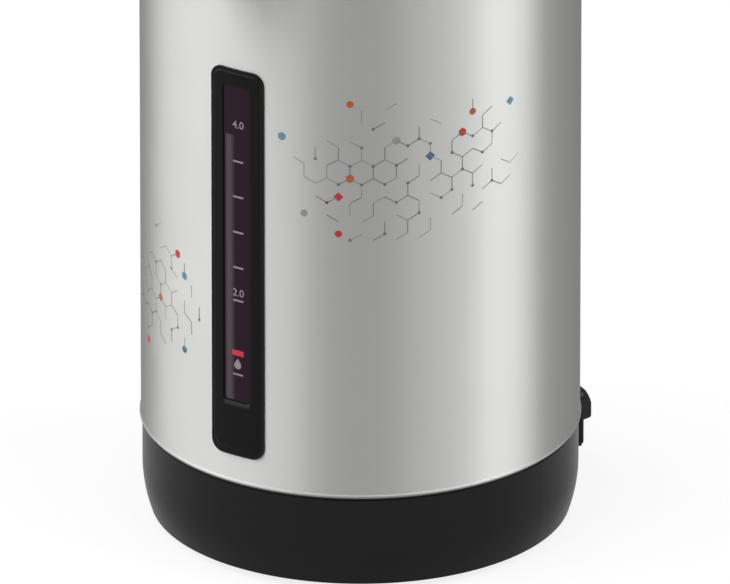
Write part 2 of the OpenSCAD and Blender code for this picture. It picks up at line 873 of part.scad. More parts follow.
module inner_tank() {
  color("#cfd2d4") difference() {
    union() {
      rotate_extrude($fn = 180) difference() {
        intersection() {
          tank_outline(0, flange_z);
          square([tank_r + 1, flange_z]);
        }
        intersection() {
          tank_outline(tank_wall, flange_z + 1);
          square([tank_r + 1, flange_z + 2]);
        }
      }
      tube(mouth_r - tank_wall, flange_r, flange_z - eps, flange_z + tank_wall);
      at_pump() disc(nipple_r, nipple_z0, tank_z + tank_wall);
    }
    at_pump() disc(nipple_r - nipple_wall, nipple_z0 - 1, tank_z + 5);
    tie_ways();
  }
}

module tank_gasket() {
  color("#e9e4da") difference() {
    tube(deck_in + 0.6, flange_r, flange_z + tank_wall, deck_z0);
    tie_ways();
  }
}

module tie_rods() {
  color("#b9bbbd") for (a = tie_angles) at_tie(a) disc(tie_d / 2, tie_z0 + snug, tie_z1);
}

// ---- Pump ----

module pump_motor() {
  color("#a9acb0") at_pump() difference() {
    disc(motor_d / 2, cover_z1, motor_z1);
    disc(shaft_d / 2 + slip, cover_z1 + 6, motor_z1 + 1);
  }
}

module pump_body() {
  color("#e6e3dc") difference() {
    union() {
      at_pump() disc(pump_d / 2, motor_z1, pump_z1);
      at_pump() disc(nipple_r, pump_z1 - 1, stub_z1);
      rod_out(pipe_r, pump_r + pump_d / 2 - 4, tube_y - hose_bend, outlet_z);
    }
    at_pump() disc(pump_d / 2 - 2.5, chamber_z0, chamber_z1);
    at_pump() disc(shaft_d / 2 + 0.5, motor_z1 - 1, chamber_z0 + 1);
    at_pump() disc(nipple_r - 2, chamber_z1 - 1, stub_z1 + 1);
    rod_out(pipe_in, pump_r + 8, tube_y, outlet_z);
  }
}

module pump_impeller() {
  color("#3c78a8") at_pump() difference() {
    union() {
      disc(impeller_d / 2, impeller_z0, impeller_z0 + 1.4);
      disc(4, impeller_z0, impeller_z1);
      for (k = [0:blade_count - 1]) rotate([0, 0, 360 * k / blade_count])
        block([3, -0.6, impeller_z0 + 1], [impeller_d / 2 - 0.6, 0.6, impeller_z1]);
    }
    disc(shaft_d / 2, impeller_z0 - 1, impeller_z1 - 1.5);
  }
}

module pump_shaft() {
  color("#d0d2d4") at_pump() disc(shaft_d / 2, cover_z1 + 7, impeller_z1 - 1.5);
}

module suction_sleeve() {
  color("#efece4") at_pump() tube(nipple_r + slip, nipple_r + slip + 2.2, pump_z1 + 0.4, nipple_z0 + 7);
}

module delivery_path(r, more) {
  rod_out(r, pump_r + pump_d / 2 + 0.5 - more, tube_y - hose_bend, outlet_z);
  quarter(-(tube_y - hose_bend), outlet_z + hose_bend, hose_bend, r, 180);
  translate([0, -tube_y, 0]) disc(r, outlet_z + hose_bend, hose_z1 + more);
}

module delivery_hose() {
  color("#efece4") difference() {
    delivery_path(hose_r, 0);
    delivery_path(hose_in, 1);
  }
}

// ---- Gauge ----

module gauge_tube() {
  color([0.85, 0.92, 0.95, 0.4]) translate([0, -tube_y, 0]) tube(pipe_in, pipe_r, tube_z0, tube_z1);
}

module gauge_seal() {
  color("#efece4") translate([0, -tube_y, 0]) tube(hose_in, hose_r, seal_z0, duct_z0 + 9);
}

module gauge_channel() {
  back = tube_y - pipe_r - 0.4;
  half = window_w / 2 + channel_wall + 0.2;
  color("#3a2a34") difference() {
    intersection() {
      block([-half, -body_r, window_z0 - 5], [half, -back + channel_wall, window_z1 + 5]);
      disc(body_r - plug_in - snug, window_z0 - 6, window_z1 + 6);
    }
    block([-half + channel_wall, -body_r, window_z0 - 6], [half - channel_wall, -back, window_z1 + 6]);
  }
}

module gauge_bezel() {
  color("#1c1a1c") difference() {
    union() {
      curved_plate(body_r + snug, body_r + bezel_proud, bezel_w, bezel_z0, bezel_z1, bezel_corner);
      curved_plate(body_r - plug_in, body_r + snug + eps, bezel_w - 2 * bezel_lap - 2 * clear,
        bezel_z0 + bezel_lap + clear, bezel_z1 - bezel_lap - clear, bezel_corner - bezel_lap);
    }
    out_front(body_r * 0.8, body_r + 5)
      translate([0, (window_z0 + window_z1) / 2]) rounded_rect(window_w, window_h, window_corner);
  }
}

module gauge_lens() {
  color([0.25, 0.14, 0.22, 0.55]) curved_plate(body_r - 0.9, body_r + bezel_proud - 0.4,
    window_w - 2 * snug, window_z0 + snug, window_z1 - snug, window_corner - snug);
}

// ---- Case ----

module outer_case() {
  color("#c3c4c2") difference() {
    union() {
      tube(case_in, body_r, case_z0 + hem_r, case_z1);
      rotate_extrude($fn = 180) translate([body_r - 0.3, case_z0 + hem_r]) difference() {
        circle(r = hem_r, $fn = 32);
        translate([-2 * hem_r - case_wall + 0.3, -2 * hem_r]) square([2 * hem_r, 4 * hem_r]);
      }
    }
    out_front(body_r * 0.8, body_r + 5) translate([0, (bezel_z0 + bezel_z1) / 2])
      rounded_rect(bezel_w - 2 * bezel_lap, bezel_h - 2 * bezel_lap, bezel_corner - bezel_lap);
    block([-17, -body_r - 5, case_z1 - 5], [17, -body_r + 10, case_z1 + 5]);
  }
}

// ---- Top frame ----

// The frame's outline from the deck up, round at the shoulder.
module shoulder_outline() {
  intersection() {
    translate([shoulder_c, shoulder_z0]) circle(r = shoulder_r, $fn = 128);
    translate([shoulder_c, deck_z0]) square([shoulder_r + 1, shoulder_r + 20]);
  }
  translate([deck_in, deck_z0]) square([shoulder_c - deck_in + eps, frame_top - deck_z0]);
}

module frame_ring() {
  rotate_extrude($fn = 180) difference() {
    union() {
      translate([skirt_in, frame_z0 - skirt_h]) square([lip_r - skirt_in, skirt_h + 2]);
      translate([skirt_in, frame_z0]) square([frame_r - skirt_in, shoulder_z0 - frame_z0]);
      shoulder_outline();
    }
    hollow_outline();
  }
}

// The solid block behind the lid that carries the hinge.
module hinge_block() {
  intersection() {
    rotate_extrude($fn = 180) shoulder_outline();
    block([-hinge_half - 4, block_y, deck_z0], [hinge_half + 4, frame_r, frame_top]);
  }
}

// The moulding's hollow: under the shoulder, outside the lid's recess.
module hollow_outline() {
  difference() {
    union() {
      translate([shoulder_c, frame_z0 - skirt_h])
        square([shoulder_r - frame_wall, shoulder_z0 - frame_z0 + skirt_h]);
      translate([shoulder_c, shoulder_z0]) circle(r = shoulder_r - frame_wall, $fn = 128);
    }
    translate([0, frame_z0 - skirt_h - 1]) square([recess_r + frame_wall, frame_top]);
    translate([skirt_in, frame_z0 - skirt_h - 1]) square([20, skirt_h + 3]);
  }
}

module beak_plan(inset) {
  w = beak_w - 2 * inset;
  far = beak_front - inset;
  c = beak_corner - inset;
  translate([-w / 2, -far + c]) square([w, far - c - 60]);
  translate([-w / 2 + c, -far]) square([w - 2 * c, 40]);
  for (s = [-1, 1]) translate([s * (w / 2 - c), -far + c]) circle(r = c);
}

// The beak from the side: level underside, rounded nose, sloping top.
module beak_side(inset, low) {
  top = frame_top - inset;
  front = -beak_front + inset;
  tip = top - beak_fall;
  t = beak_tip - inset / 2;
  polygon([[-60, low], [front + 5, low], [front, low + 5], [front, tip - t],
    [front + t * 0.3, tip - t * 0.3], [front + t, tip + t * tan(slope)], [-recess_r, top], [-60, top]]);
}

module beak(inset, low) {
  intersection() {
    translate([0, 0, low]) linear_extrude(60) beak_plan(inset);
    across(beak_w) beak_side(inset, low);
  }
}

// The space inside the beak, from the wall of the lid's recess out to the beak's nose.
module beak_hollow() {
  difference() {
    beak(frame_wall, beak_z0 - 5);
    on_slope() block([-beak_w, -beak_front, -frame_wall - panel_t], [beak_w, 20, 20]);
    disc(recess_r + frame_wall, 0, frame_top);
    disc(frame_r, 0, frame_z0);
  }
}

// A ledge under the arm of the folded handle, which runs back from the handle's boss.
module handle_stop() {
  z = handle_z - bow_w / 2 - snug;
  block([frame_r, 0, z - stop_t], [boss_x, stop_y + 2 * stop_t, z]);
  block([frame_r, stop_y, z - stop_t], [bow_in + bow_t / 2, stop_y + 2 * stop_t, z]);
}

module top_frame() {
  color("#222325") difference() {
    union() {
      difference() {
        union() {
          frame_ring();
          difference() {
            beak(0, beak_z0);
            disc(frame_r - 0.1, 0, frame_z0);
            disc(recess_r + frame_wall, 0, deck_z0);
            disc(recess_r + frame_wall / 2, 0, frame_top + 1);
          }
        }
        beak_hollow();
      }
      for (s = [-1, 1]) difference() {
        at_handle(s) disc(handle_boss_r, frame_r - 4, boss_x);
        disc(frame_r - 0.1, 0, frame_z0);
        disc(recess_r + frame_wall, 0, frame_top);
      }
      handle_stop();
      mirror([1, 0, 0]) handle_stop();
      for (a = tie_angles) at_tie(a) disc(boss_r, case_z1 - 4, deck_z0 + 1);
      hinge_block();
      intersection() {
        disc(recess_r, deck_z0, frame_top);
        block([-60, block_y, 0], [60, body_d, frame_top]);
      }
      on_slope() for (x = pillar_x, y = pillar_y) translate([x, y, 0])
        disc(pillar_r, control_z, -panel_t - 1);
    }
    // the lid's recess, with its straight rear side
    intersection() {
      disc(recess_r, deck_z1, frame_top + 1);
      block([-body_d, -body_d, 0], [body_d, block_y, frame_top + 1]);
    }
    // the bevel along its top, which the lid's rim clears as it swings up
    intersection() {
      translate([0, 0, frame_top - 2 * recess_edge])
        cylinder(r1 = recess_r - recess_edge, r2 = recess_r + 2 * recess_edge, h = 3 * recess_edge);
      block([-body_d, -body_d, 0], [body_d, block_y, frame_top + 1]);
    }
    // slots for the lid's knuckles and the bore of their pin
    for (s = [-1, 1]) translate([s * knuckle_x, 0, 0])
      block([-slot_w / 2, block_y - 1, hinge_z - 7], [slot_w / 2, hinge_y + knuckle_r + 0.6, frame_top + 1]);
    at_hinge() disc(hinge_pin_d / 2 + slip, -hinge_half - 1, hinge_half + 1);
    // rounded edge in front of the hinge
    block_edge();
    // the way for the water duct and the harness
    block([-16, -frame_r - 1, frame_z0 - skirt_h - 1], [16, -recess_r - frame_wall, deck_z0]);
    // tie rods, handle pins, buttons, panel recess, latch pocket
    for (a = tie_angles) at_tie(a) disc(tie_d / 2 + snug, case_z1 - 6, tie_z1 + snug);
    for (s = [-1, 1]) at_handle(s) disc(handle_pin_d / 2 + slip, frame_r - pin_in - 1, boss_x + 1);
    on_slope() {
      panel_plate(panel_w + 2 * snug, panel_l + 2 * snug, 5);
      key_holes(2 * clear);
    }
    block([-latch_gap - 1, -recess_r - 1.2, latch_nose_z - 1],
      [latch_gap + 1, 3 - recess_r, latch_nose_z + 3]);
  }
}

module block_edge() {
  r = 3;
  across(block_hw + 1.6) difference() {
    translate([block_y - 1, frame_top - r]) square([r + 1, r + 1]);
    translate([block_y + r, frame_top - r]) circle(r = r);
  }
}

module spout_cover() {
  color("#1e1f21") difference() {
    intersection() {
      translate([0, 0, under_z0]) linear_extrude(under_t) beak_plan(frame_wall + clear);
      block([-50, -beak_front + frame_wall + 4, 0], [50, -60, 2 * case_z1]);
    }
    disc(body_r + 1.2, 0, 2 * case_z1);
    translate([0, -nozzle_y, 0]) disc(pipe_r + snug, 0, 2 * case_z1);
  }
}

module duct_path(r, more) {
  translate([0, -tube_y, 0]) disc(r, duct_z0 - more, run_z - run_bend);
  quarter(-(tube_y + run_bend), run_z - run_bend, run_bend, r, 0);
  rod_out(r, tube_y + run_bend, valve_y0 + more, run_z);
  rod_out(r, valve_y1 - more, nozzle_y - run_bend, run_z);
  quarter(-(nozzle_y - run_bend), run_z - run_bend, run_bend, r, 90);
  translate([0, -nozzle_y, 0]) disc(r, under_z0 - 7 - more, run_z - run_bend);
}

module spout_duct() {
  color("#d9dcde") difference() {
    duct_path(pipe_r, 0);
    duct_path(pipe_in, 0.5);
  }
}

module tip_valve_body() {
  color("#cfd4d8") difference() {
    rod_out(valve_r, valve_y0, valve_y1, run_z);
    rod_out(valve_in, valve_y0 + valve_end, valve_y1 - valve_end, run_z);
    rod_out(pipe_in, valve_y0 - 1, valve_y1 + 1, run_z);
  }
}

module tip_valve_ball() {
  color("#b8bcc0") translate([0, -ball_y, run_z - valve_in + ball_r + snug]) sphere(r = ball_r);
}

module spout_nozzle() {
  z1 = under_z0 - snug;
  seat = under_z0 - 7.2;
  color("#2b2c2e") translate([0, -nozzle_y, 0]) difference() {
    union() {
      disc(11, z1 - 2, z1);
      translate([0, 0, seat - 5.3]) cylinder(r1 = 7, r2 = 8, h = z1 - 1 - seat + 5.3);
    }
    disc(pipe_r + slip, seat, z1 + 1);
    disc(nozzle_bore_d / 2, seat - 7, seat + 1);
  }
}

// ---- Controls ----

// The panel's plate, from its underside up to a height above the slope.
module panel_plate(w, l, top) {
  translate([0, -panel_y - panel_l / 2, -panel_t])
    linear_extrude(panel_t + top) rounded_rect(w, l, panel_corner);
}

// Holes for the three buttons and the lamps, wider than them all round by a gap.
module key_holes(gap) {
  translate([0, dispense_y, 0]) disc(dispense_d / 2 + gap, -10, 5);
  for (s = [-1, 1]) translate([s * key_x, key_y, 0]) disc(key_d / 2 + gap, -10, 5);
  for (x = led_x) translate([x, key_y, 0]) disc(led_d / 2 + gap / 3, -10, 5);
}

module control_panel() {
  color("#3a3b3e") on_slope() difference() {
    panel_plate(panel_w, panel_l, 0);
    key_holes(clear);
  }
}

module control_board() {
  color("#2f6b46") on_slope() {
    difference() {
      block([1 - panel_w / 2, -board_y0 - board_len, control_z - control_t],
        [panel_w / 2 - 1, -board_y0, control_z]);
      for (x = pillar_x, y = pillar_y) translate([x, y, 0]) disc(1, control_z - 3, control_z + 1);
    }
    // a switch under each button
    for (p = [[0, dispense_y, 0], [-key_x, key_y, 0], [key_x, key_y, 0]])
      translate(p) block([-3, -3, control_z - eps], [3, 3, control_z + switch_h]);
  }
}

module indicator_leds() {
  color("#e0492f") on_slope() for (x = led_x) translate([x, key_y, 0]) disc(led_d / 2, control_z, -0.2);
}

// A button that stands proud of the panel, with a flange under the frame's skin.
module key(d, proud) {
  low = control_z + switch_h + key_travel + snug;
  disc(d / 2, low, proud);
  disc(d / 2 + 1.3, low, low + 0.9);
}

module dispense_button() {
  color("#c9cbcc") on_slope() translate([0, dispense_y, 0]) key(dispense_d, 1.8);
}

module reboil_button() {
  color("#b9bbbd") on_slope() translate([-key_x, key_y, 0]) key(key_d, 1.4);
}

module lock_button() {
  color("#b9bbbd") on_slope() translate([key_x, key_y, 0]) key(key_d, 1.4);
}

// ---- Lid ----

module behind(y) {
  block([-body_d, y, 0], [body_d, body_d, 2 * case_z1]);
}

module lid_crown_side(inset) {
  intersection() {
    translate([0, crown_z - crown_r]) circle(r = crown_r - inset, $fn = 720);
    translate([0, lid_flange_z1]) square([lid_r - inset, lid_top]);
  }
}

module knuckles() {
  for (s = [-1, 1]) translate([s * knuckle_x - knuckle_w / 2, 0, 0]) {
    at_hinge() disc(knuckle_r, 0, knuckle_w);
    block([0, chord_y - 1.5, hinge_z - 3.5], [knuckle_w, hinge_y, hinge_z + 3.5]);
  }
}

module lid_cover() {
  color("#2a2b2e") difference() {
    union() {
      difference() {
        rotate_extrude($fn = 180) difference() {
          lid_crown_side(0);
          difference() {
            lid_crown_side(lid_wall);
            translate([guide_r, 0]) square([guide_wall, lid_top]);
          }
        }
        behind(chord_y);
      }
      intersection() {
        disc(lid_r, lid_flange_z1, frame_top - 1);
        block([-chord_hw, chord_y - lid_wall, 0], [chord_hw, chord_y, lid_top]);
      }
      knuckles();
    }
    disc(guide_r, 0, 2 * lid_top);
    at_hinge() disc(hinge_pin_d / 2 + slip, -hinge_half, hinge_half);
    // the latch's slot in the crown and in the rim
    block([-latch_gap, -pad_y1 - 2, latch_z], [latch_gap, latch_travel + 2 - pad_y0, lid_top]);
    block([-latch_gap, -lid_r - 1, latch_nose_z - clear],
      [latch_gap, 6 - lid_r, latch_nose_z + lid_wall + clear]);
    // steam slots
    for (x = [-12:4:12]) block([x - 0.8, steam_y, lid_flange_z1], [x + 0.8, steam_y + steam_l, lid_top]);
  }
}

module lid_base() {
  color("#e4e2dc") difference() {
    union() {
      tube(plug_r - lid_wall, lid_r - 0.2, lid_z0, lid_flange_z1);
      tube(plug_r - lid_wall, plug_r, plug_z0, lid_flange_z1);
      disc(plug_r, plug_z0, plug_floor);
    }
    behind(chord_y);
    disc(air_hole_r, plug_z0 - 1, plug_floor + 1);
  }
}

module lid_gasket() {
  color("#d8d4ca") tube(gasket_r0, gasket_r1, gasket_z0, lid_z0);
}

module inner_cover() {
  color("#c8cbce") difference() {
    disc(plug_r - 2.5, plug_z0 - cover_plate_t, plug_z0);
    for (a = [0:60:300]) at_angle(a) translate([0, -plug_r * 0.6, 0]) disc(2.2, plug_z0 - 5, plug_z0 + 1);
    disc(air_hole_r, plug_z0 - 5, plug_z0 + 1);
  }
}

module press_plate() {
  color("#35363a") difference() {
    disc(press_r, press_z1 - press_skirt, press_z1);
    disc(press_r - lid_wall, press_z1 - press_skirt - 1, press_z1 - press_t);
    translate([0, 0, press_z1 + dish_r - 1.2]) sphere(r = dish_r, $fn = 200);
  }
}

// The bellows' folds: a zigzag wall of constant thickness.
module bellows() {
  step = (bellows_z1 - bellows_z0) / fold_count / 2;
  outer = [for (i = [0:2 * fold_count]) [i % 2 == 0 ? bellows_in : bellows_out, bellows_z0 + i * step]];
  inner = [for (i = [2 * fold_count:-1:0]) outer[i] - [bellows_wall * 1.6, 0]];
  color("#c9a98a") rotate_extrude() polygon(concat(outer, inner));
}

module bellows_spring() {
  color("#c2c5c8") spring(spring_r, spring_wire, bellows_z0, bellows_z1, 5);
}

// The latch's thumb pad, its slide under the crown, and its nose.
module lid_latch() {
  color("#b9bbbd") {
    block([-latch_w / 2, -pad_y1, latch_z + 0.2], [latch_w / 2, -pad_y0, crown_at(pad_y0 + 6) + 1.2]);
    block([-latch_w / 2 - 3, 2 - pad_y1, slide_z], [latch_w / 2 + 3, 10 - pad_y0, slide_z + lid_wall]);
    block([-latch_w / 2, 0.4 - recess_r, latch_nose_z], [latch_w / 2, eps - pad_y1, latch_nose_z + lid_wall]);
  }
}

module latch_spring() {
  length = pad_y0 - guide_r - guide_wall - 0.6;
  color("#c2c5c8") translate([0, 0.2 - pad_y0, latch_z + 3.4]) rotate([-90, 0, 0])
    spring(2, 0.4, 0, length, 5, 10);
}

module lid_hinge_pin() {
  color("#c2c5c8") at_hinge() disc(hinge_pin_d / 2, -hinge_half, hinge_half);
}

// ---- Handle ----

module bow_section(r0, r1, w, round) {
  translate([(r0 + r1) / 2, 0]) rounded_rect(r1 - r0, w, round);
}

module handle_bow() {
  color("#232426") translate([0, 0, handle_z]) difference() {
    union() {
      translate([0, bow_shift, 0])
        rotate_extrude(angle = 180, $fn = 180) bow_section(bow_in, bow_out, bow_w, 2);
      for (s = [-1, 1]) translate([s * (bow_in + bow_out) / 2, 0, 0]) {
        rotate([-90, 0, 0]) linear_extrude(bow_shift) rounded_rect(bow_t, bow_w, 2);
        translate([-bow_t / 2, 0, 0]) rotate([0, 90, 0]) cylinder(r = hub_r, h = bow_t);
      }
    }
    translate([-body_d, 0, 0]) rotate([0, 90, 0]) cylinder(d = handle_pin_d + 2 * slip, h = 2 * body_d);
  }
}

module handle_grip() {
  color("#2f3033") translate([0, bow_shift, handle_z]) rotate([0, 0, 90 - grip_angle / 2])
    rotate_extrude(angle = grip_angle, $fn = 180) difference() {
      bow_section(bow_in - grip_skin - snug, bow_out + 2 * grip_skin, bow_w + 2 * grip_skin + 2 * snug, 3);
      bow_section(bow_in - snug, bow_out + snug, bow_w + 2 * snug, 2);
    }
}

module handle_pins() {
  color("#b9bbbd") for (s = [-1, 1]) at_handle(s) {
    disc(handle_pin_d / 2, frame_r - pin_in, bow_out + clear + eps);
    disc(handle_pin_d / 2 + 3, bow_out + clear, bow_out + clear + screw_head_t);
  }
}

turntable_plate();
rubber_feet();
glide_ring();
base_housing();
bottom_cover();
bottom_screws();
pivot_screw();
pivot_washer();
inlet_housing();
inlet_pins();
inlet_magnets();
power_board();
power_board_parts();
base_wiring();
wire_harness();
heater_plate();
heater_elements();
heater_nuts();
thermostats();
inner_tank();
tank_gasket();
tie_rods();
pump_motor();
pump_body();
pump_impeller();
pump_shaft();
suction_sleeve();
delivery_hose();
gauge_tube();
gauge_seal();
gauge_channel();
gauge_bezel();
gauge_lens();
outer_case();
top_frame();
spout_cover();
spout_duct();
tip_valve_body();
tip_valve_ball();
spout_nozzle();
control_panel();
control_board();
indicator_leds();
dispense_button();
reboil_button();
lock_button();
lid_hinge_pin();
lid_cover();
lid_base();
lid_gasket();
inner_cover();
press_plate();
bellows();
bellows_spring();
lid_latch();
latch_spring();
handle_bow();
handle_grip();
handle_pins();
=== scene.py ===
"""Looks of an electric thermo pot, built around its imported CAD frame.

Everything is in metres, in the frame's own axes: Z is the pot's axis, the table is at Z 0 and the spout
points along -Y. An azimuth is measured from -Y towards +X. The script is laid out as an add-on: property
groups hold the sizes and colours, and one operator makes each group of pieces.
"""

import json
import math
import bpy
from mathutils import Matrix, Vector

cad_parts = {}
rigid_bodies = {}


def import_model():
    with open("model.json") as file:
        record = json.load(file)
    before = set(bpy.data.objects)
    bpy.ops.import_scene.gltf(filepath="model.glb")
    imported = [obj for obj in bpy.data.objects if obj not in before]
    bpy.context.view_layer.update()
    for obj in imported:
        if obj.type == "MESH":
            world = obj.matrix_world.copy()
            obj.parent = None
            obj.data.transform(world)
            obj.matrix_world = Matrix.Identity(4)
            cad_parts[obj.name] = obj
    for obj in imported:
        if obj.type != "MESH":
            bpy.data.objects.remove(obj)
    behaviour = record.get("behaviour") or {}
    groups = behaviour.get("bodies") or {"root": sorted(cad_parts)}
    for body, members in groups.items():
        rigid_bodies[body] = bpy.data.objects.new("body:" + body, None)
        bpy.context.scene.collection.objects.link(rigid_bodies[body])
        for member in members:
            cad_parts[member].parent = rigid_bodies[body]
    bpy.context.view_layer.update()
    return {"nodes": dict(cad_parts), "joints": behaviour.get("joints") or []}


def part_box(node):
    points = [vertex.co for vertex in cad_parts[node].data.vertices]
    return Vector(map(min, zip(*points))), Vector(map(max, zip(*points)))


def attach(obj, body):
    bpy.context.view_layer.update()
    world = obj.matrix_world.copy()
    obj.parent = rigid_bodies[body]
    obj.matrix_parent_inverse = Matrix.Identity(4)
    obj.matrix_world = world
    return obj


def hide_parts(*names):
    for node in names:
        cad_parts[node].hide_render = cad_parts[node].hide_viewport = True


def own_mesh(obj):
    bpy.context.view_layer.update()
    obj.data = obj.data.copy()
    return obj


bl_info = {
    "name": "Electric thermo pot",
    "version": (1, 0, 0),
    "blender": (4, 5, 0),
    "location": "View3D > Sidebar > Thermo pot",
    "description": "Finishes, prints and studio for a packed electric thermo pot",
    "category": "Object",
}

import bpy
import numpy as np
from bpy.props import FloatProperty, FloatVectorProperty, IntProperty, PointerProperty
from bpy.types import Operator, Panel, PropertyGroup
from mathutils import Vector

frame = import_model()

MM = 0.001
MICRON = 1e-6
PRINT_LIFT = 0.05  # mm that a print stands proud of what it is printed on
PRINT_SKIN = 0.04  # mm of ink or foil
LACQUER = 0.04  # mm that the case's lacquer stands proud of the CAD case
LACQUER_SKIN = 0.03  # mm of lacquer
INK_ON_LACQUER = 0.03  # mm that a print stands proud of the lacquer
CAPITAL, BOLD = 0.7, 0.012  # the font's height of a number over its size, and what is added to its outline


# ---- Reading the frame ----


def read(items, name, kind=np.float32, wide=1):
    """One property of all vertices or loops of a mesh as an array, wide values to a row."""
    values = np.empty(len(items) * wide, kind)
    items.foreach_get(name, values)
    return values.reshape(-1, wide)


def corners(node):
    """A CAD node's vertices as an array, in metres."""
    return read(frame["nodes"][node].data.vertices, "co", wide=3).astype(float)


def box_mm(node):
    """A CAD node's lowest and highest corners, in mm."""
    return [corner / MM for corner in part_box(node)]


def joint_named(name):
    return next(j for j in frame["joints"] if j["name"] == name)


def skin_radius(node, low=0.0):
    """The outer radius in mm of a round node about the pot's axis, above a share of its height."""
    co = corners(node)
    z0, z1 = co[:, 2].min(), co[:, 2].max()
    part = co[co[:, 2] >= z0 + low * (z1 - z0)]
    return float(np.hypot(part[:, 0], part[:, 1]).max()) / MM


CASE_R = skin_radius("outer_case", 0.5)
HEM_R = skin_radius("outer_case")
LENS_R = skin_radius("gauge_lens")
BEZEL_R = skin_radius("gauge_bezel")


def top_plane(node):
    """Centre and axes (across, up the slope, out) of the flat top of a piece on the sloping panel."""
    out = -np.array(joint_named("dispense_press")["axis"], float)
    out /= np.linalg.norm(out)
    across = np.array([1.0, 0.0, 0.0])
    co = corners(node)
    middle = (co.min(0) + co.max(0)) / 2
    return middle + ((co @ out).max() - middle @ out) * out, across, np.cross(out, across), out


# ---- Properties ----


def linear(colour):
    """An sRGB hex colour such as #c0c0c0 as linear red, green and blue. Other colours are linear already."""
    if not isinstance(colour, str):
        return tuple(colour)
    c = np.array([int(colour[i : i + 2], 16) for i in (1, 3, 5)]) / 255
    return tuple(np.where(c <= 0.04045, c / 12.92, ((c + 0.055) / 1.055) ** 2.4).tolist())


def hue(name, description, colour):
    """A colour property whose default is that hex colour."""
    return FloatVectorProperty(
        name=name, description=description, subtype="COLOR", size=3, min=0.0, max=1.0, default=linear(colour)
    )


def metres(name, description, value, **limits):
    """A length property in metres."""
    return FloatProperty(name=name, description=description, default=value, unit="LENGTH", **limits)


def degrees(name, description, angle):
    """An angle property whose default is that many degrees."""
    return FloatProperty(name=name, description=description, default=math.radians(angle), subtype="ANGLE")


def fraction(name, description, value):
    """A property between nought and one."""
    return FloatProperty(name=name, description=description, default=value, min=0.0, max=1.0)


class PotColours(PropertyGroup):
    case: hue("Case", "Satin silver lacquer on the steel case", "#d9d9d7")
    base: hue("Base", "Polished black ABS of the base", "#060607")
    bezel: hue("Bezel", "Border of the gauge panel", "#0b0a0b")
    inlay: hue("Inlay", "Satin face of the gauge panel", "#0d0a0c")
    window: hue("Window", "Smoked violet of the gauge window", "#301728")
    # Column is the middle colour of a painted highlight strip that stands for the lit gauge tube
    column: hue("Column", "Water column behind the window", "#574e54")
    marks: hue("Marks", "Scale printed on the window", "#a89da5")
    alert: hue("Alert", "Refill mark on the window", "#e03a55")
    top: hue("Top", "Polished black ABS of the top frame and lid", "#18181a")
    panel: hue("Panel", "Satin charcoal of the control panel", "#2f3033")
    silver: hue("Silver", "Silver keys and press plate", "#b4b6b8")
    grip: hue("Grip", "Soft grip of the handle", "#232426")
    line_dark: hue("Line", "Thin lines of the printed lattice", "#7f7f7d")
    line_pale: hue("Pale line", "Faint lines of the printed lattice", "#a3a3a1")


class PotPrint(PropertyGroup):
    hem: metres("Hem", "Radius of the case's rolled hem", 0.9 * MM, min=0.5 * MM, max=1.2 * MM)
    cell: metres("Cell", "Side of one hexagon of the lattice", 6.2 * MM, min=3 * MM, max=15 * MM)
    line: metres("Line", "Width of the lattice's lines", 0.42 * MM, min=0.2 * MM, max=1.5 * MM)
    accent: metres("Accent", "Width of a coloured accent", 4.3 * MM, min=2 * MM, max=10 * MM)
    digits: metres("Digits", "Height of the numbers on the gauge", 3.6 * MM, min=2 * MM, max=6 * MM)
    seed: IntProperty(name="Seed", description="Picks the lattice's lines", default=11, min=0)


class PotStudio(PropertyGroup):
    azimuth: degrees("Azimuth", "Camera's direction from the spout towards +X", 33.7)
    elevation: degrees("Elevation", "Camera's height above the horizon", 23.6)
    distance: metres("Distance", "From the camera to its aim", 12.0, min=2.0)
    width: metres("Width", "Width of the picture at the pot's axis", 0.3402, min=0.05)
    aim_height: metres("Aim", "Height of the camera's aim on the pot's axis", 0.1082)
    aim_right: metres("Aim right", "The aim's offset to the camera's right", 2.1 * MM)
    floor: hue("Floor", "Pale matt floor", "#7c7c7b")
    lift: fraction("Lift", "Glow that whitens the floor for the camera", 0.82)
    world: fraction("Room", "Brightness of the room around the pot", 0.1)
    mirrored_floor: fraction("Mirrored floor", "Share of the floor's glow that gloss and glass show", 0.34)
    mirrored_room: fraction("Mirrored room", "Share of the white room that gloss and glass show", 0.3)


# ---- Materials ----

HAZE = 6  # mm, patches of polishing haze on glass and acrylic


def add(tree, kind, inputs=None, **settings):
    """Adds a node: settings are its attributes, inputs maps its sockets to values or to other outputs."""
    node = tree.nodes.new(kind)
    for name, value in settings.items():
        setattr(node, name, value)
    for name, value in (inputs or {}).items():
        if isinstance(value, bpy.types.NodeSocket):
            tree.links.new(value, node.inputs[name])
        else:
            node.inputs[name].default_value = value
    return node


def dress(shader, **values):
    """Sets or links inputs of a shader, with their names written in lower case and underscores."""
    for name, value in values.items():
        socket = shader.inputs[name.replace("_", " ").title().replace("Ior", "IOR")]
        if isinstance(value, bpy.types.NodeSocket):
            shader.id_data.links.new(value, socket)
        else:
            socket.default_value = value


def start(name):
    """A new material with its tree, its Principled shader and the piece's own coordinates in metres."""
    material = bpy.data.materials.new(name)
    material.use_nodes = True
    tree = material.node_tree
    return material, tree, tree.nodes["Principled BSDF"], add(tree, "ShaderNodeTexCoord").outputs["Object"]


def mottled(tree, place, size, detail, colour, spread):
    """A noise with patches of that size in metres, and a colour that wanders with it between a darker and a
    lighter shade, each of them away from the colour by the spread's share."""
    noise = add(tree, "ShaderNodeTexNoise", {"Vector": place, "Scale": 1 / size, "Detail": detail})
    c = np.array(linear(colour))
    dark, light = [(*np.clip(c * k, 0, 1).tolist(), 1.0) for k in (1 - spread, 1 + spread)]
    tone = add(tree, "ShaderNodeMix", {0: noise.outputs["Fac"], 6: dark, 7: light}, data_type="RGBA")
    return noise.outputs["Fac"], tone.outputs[2]


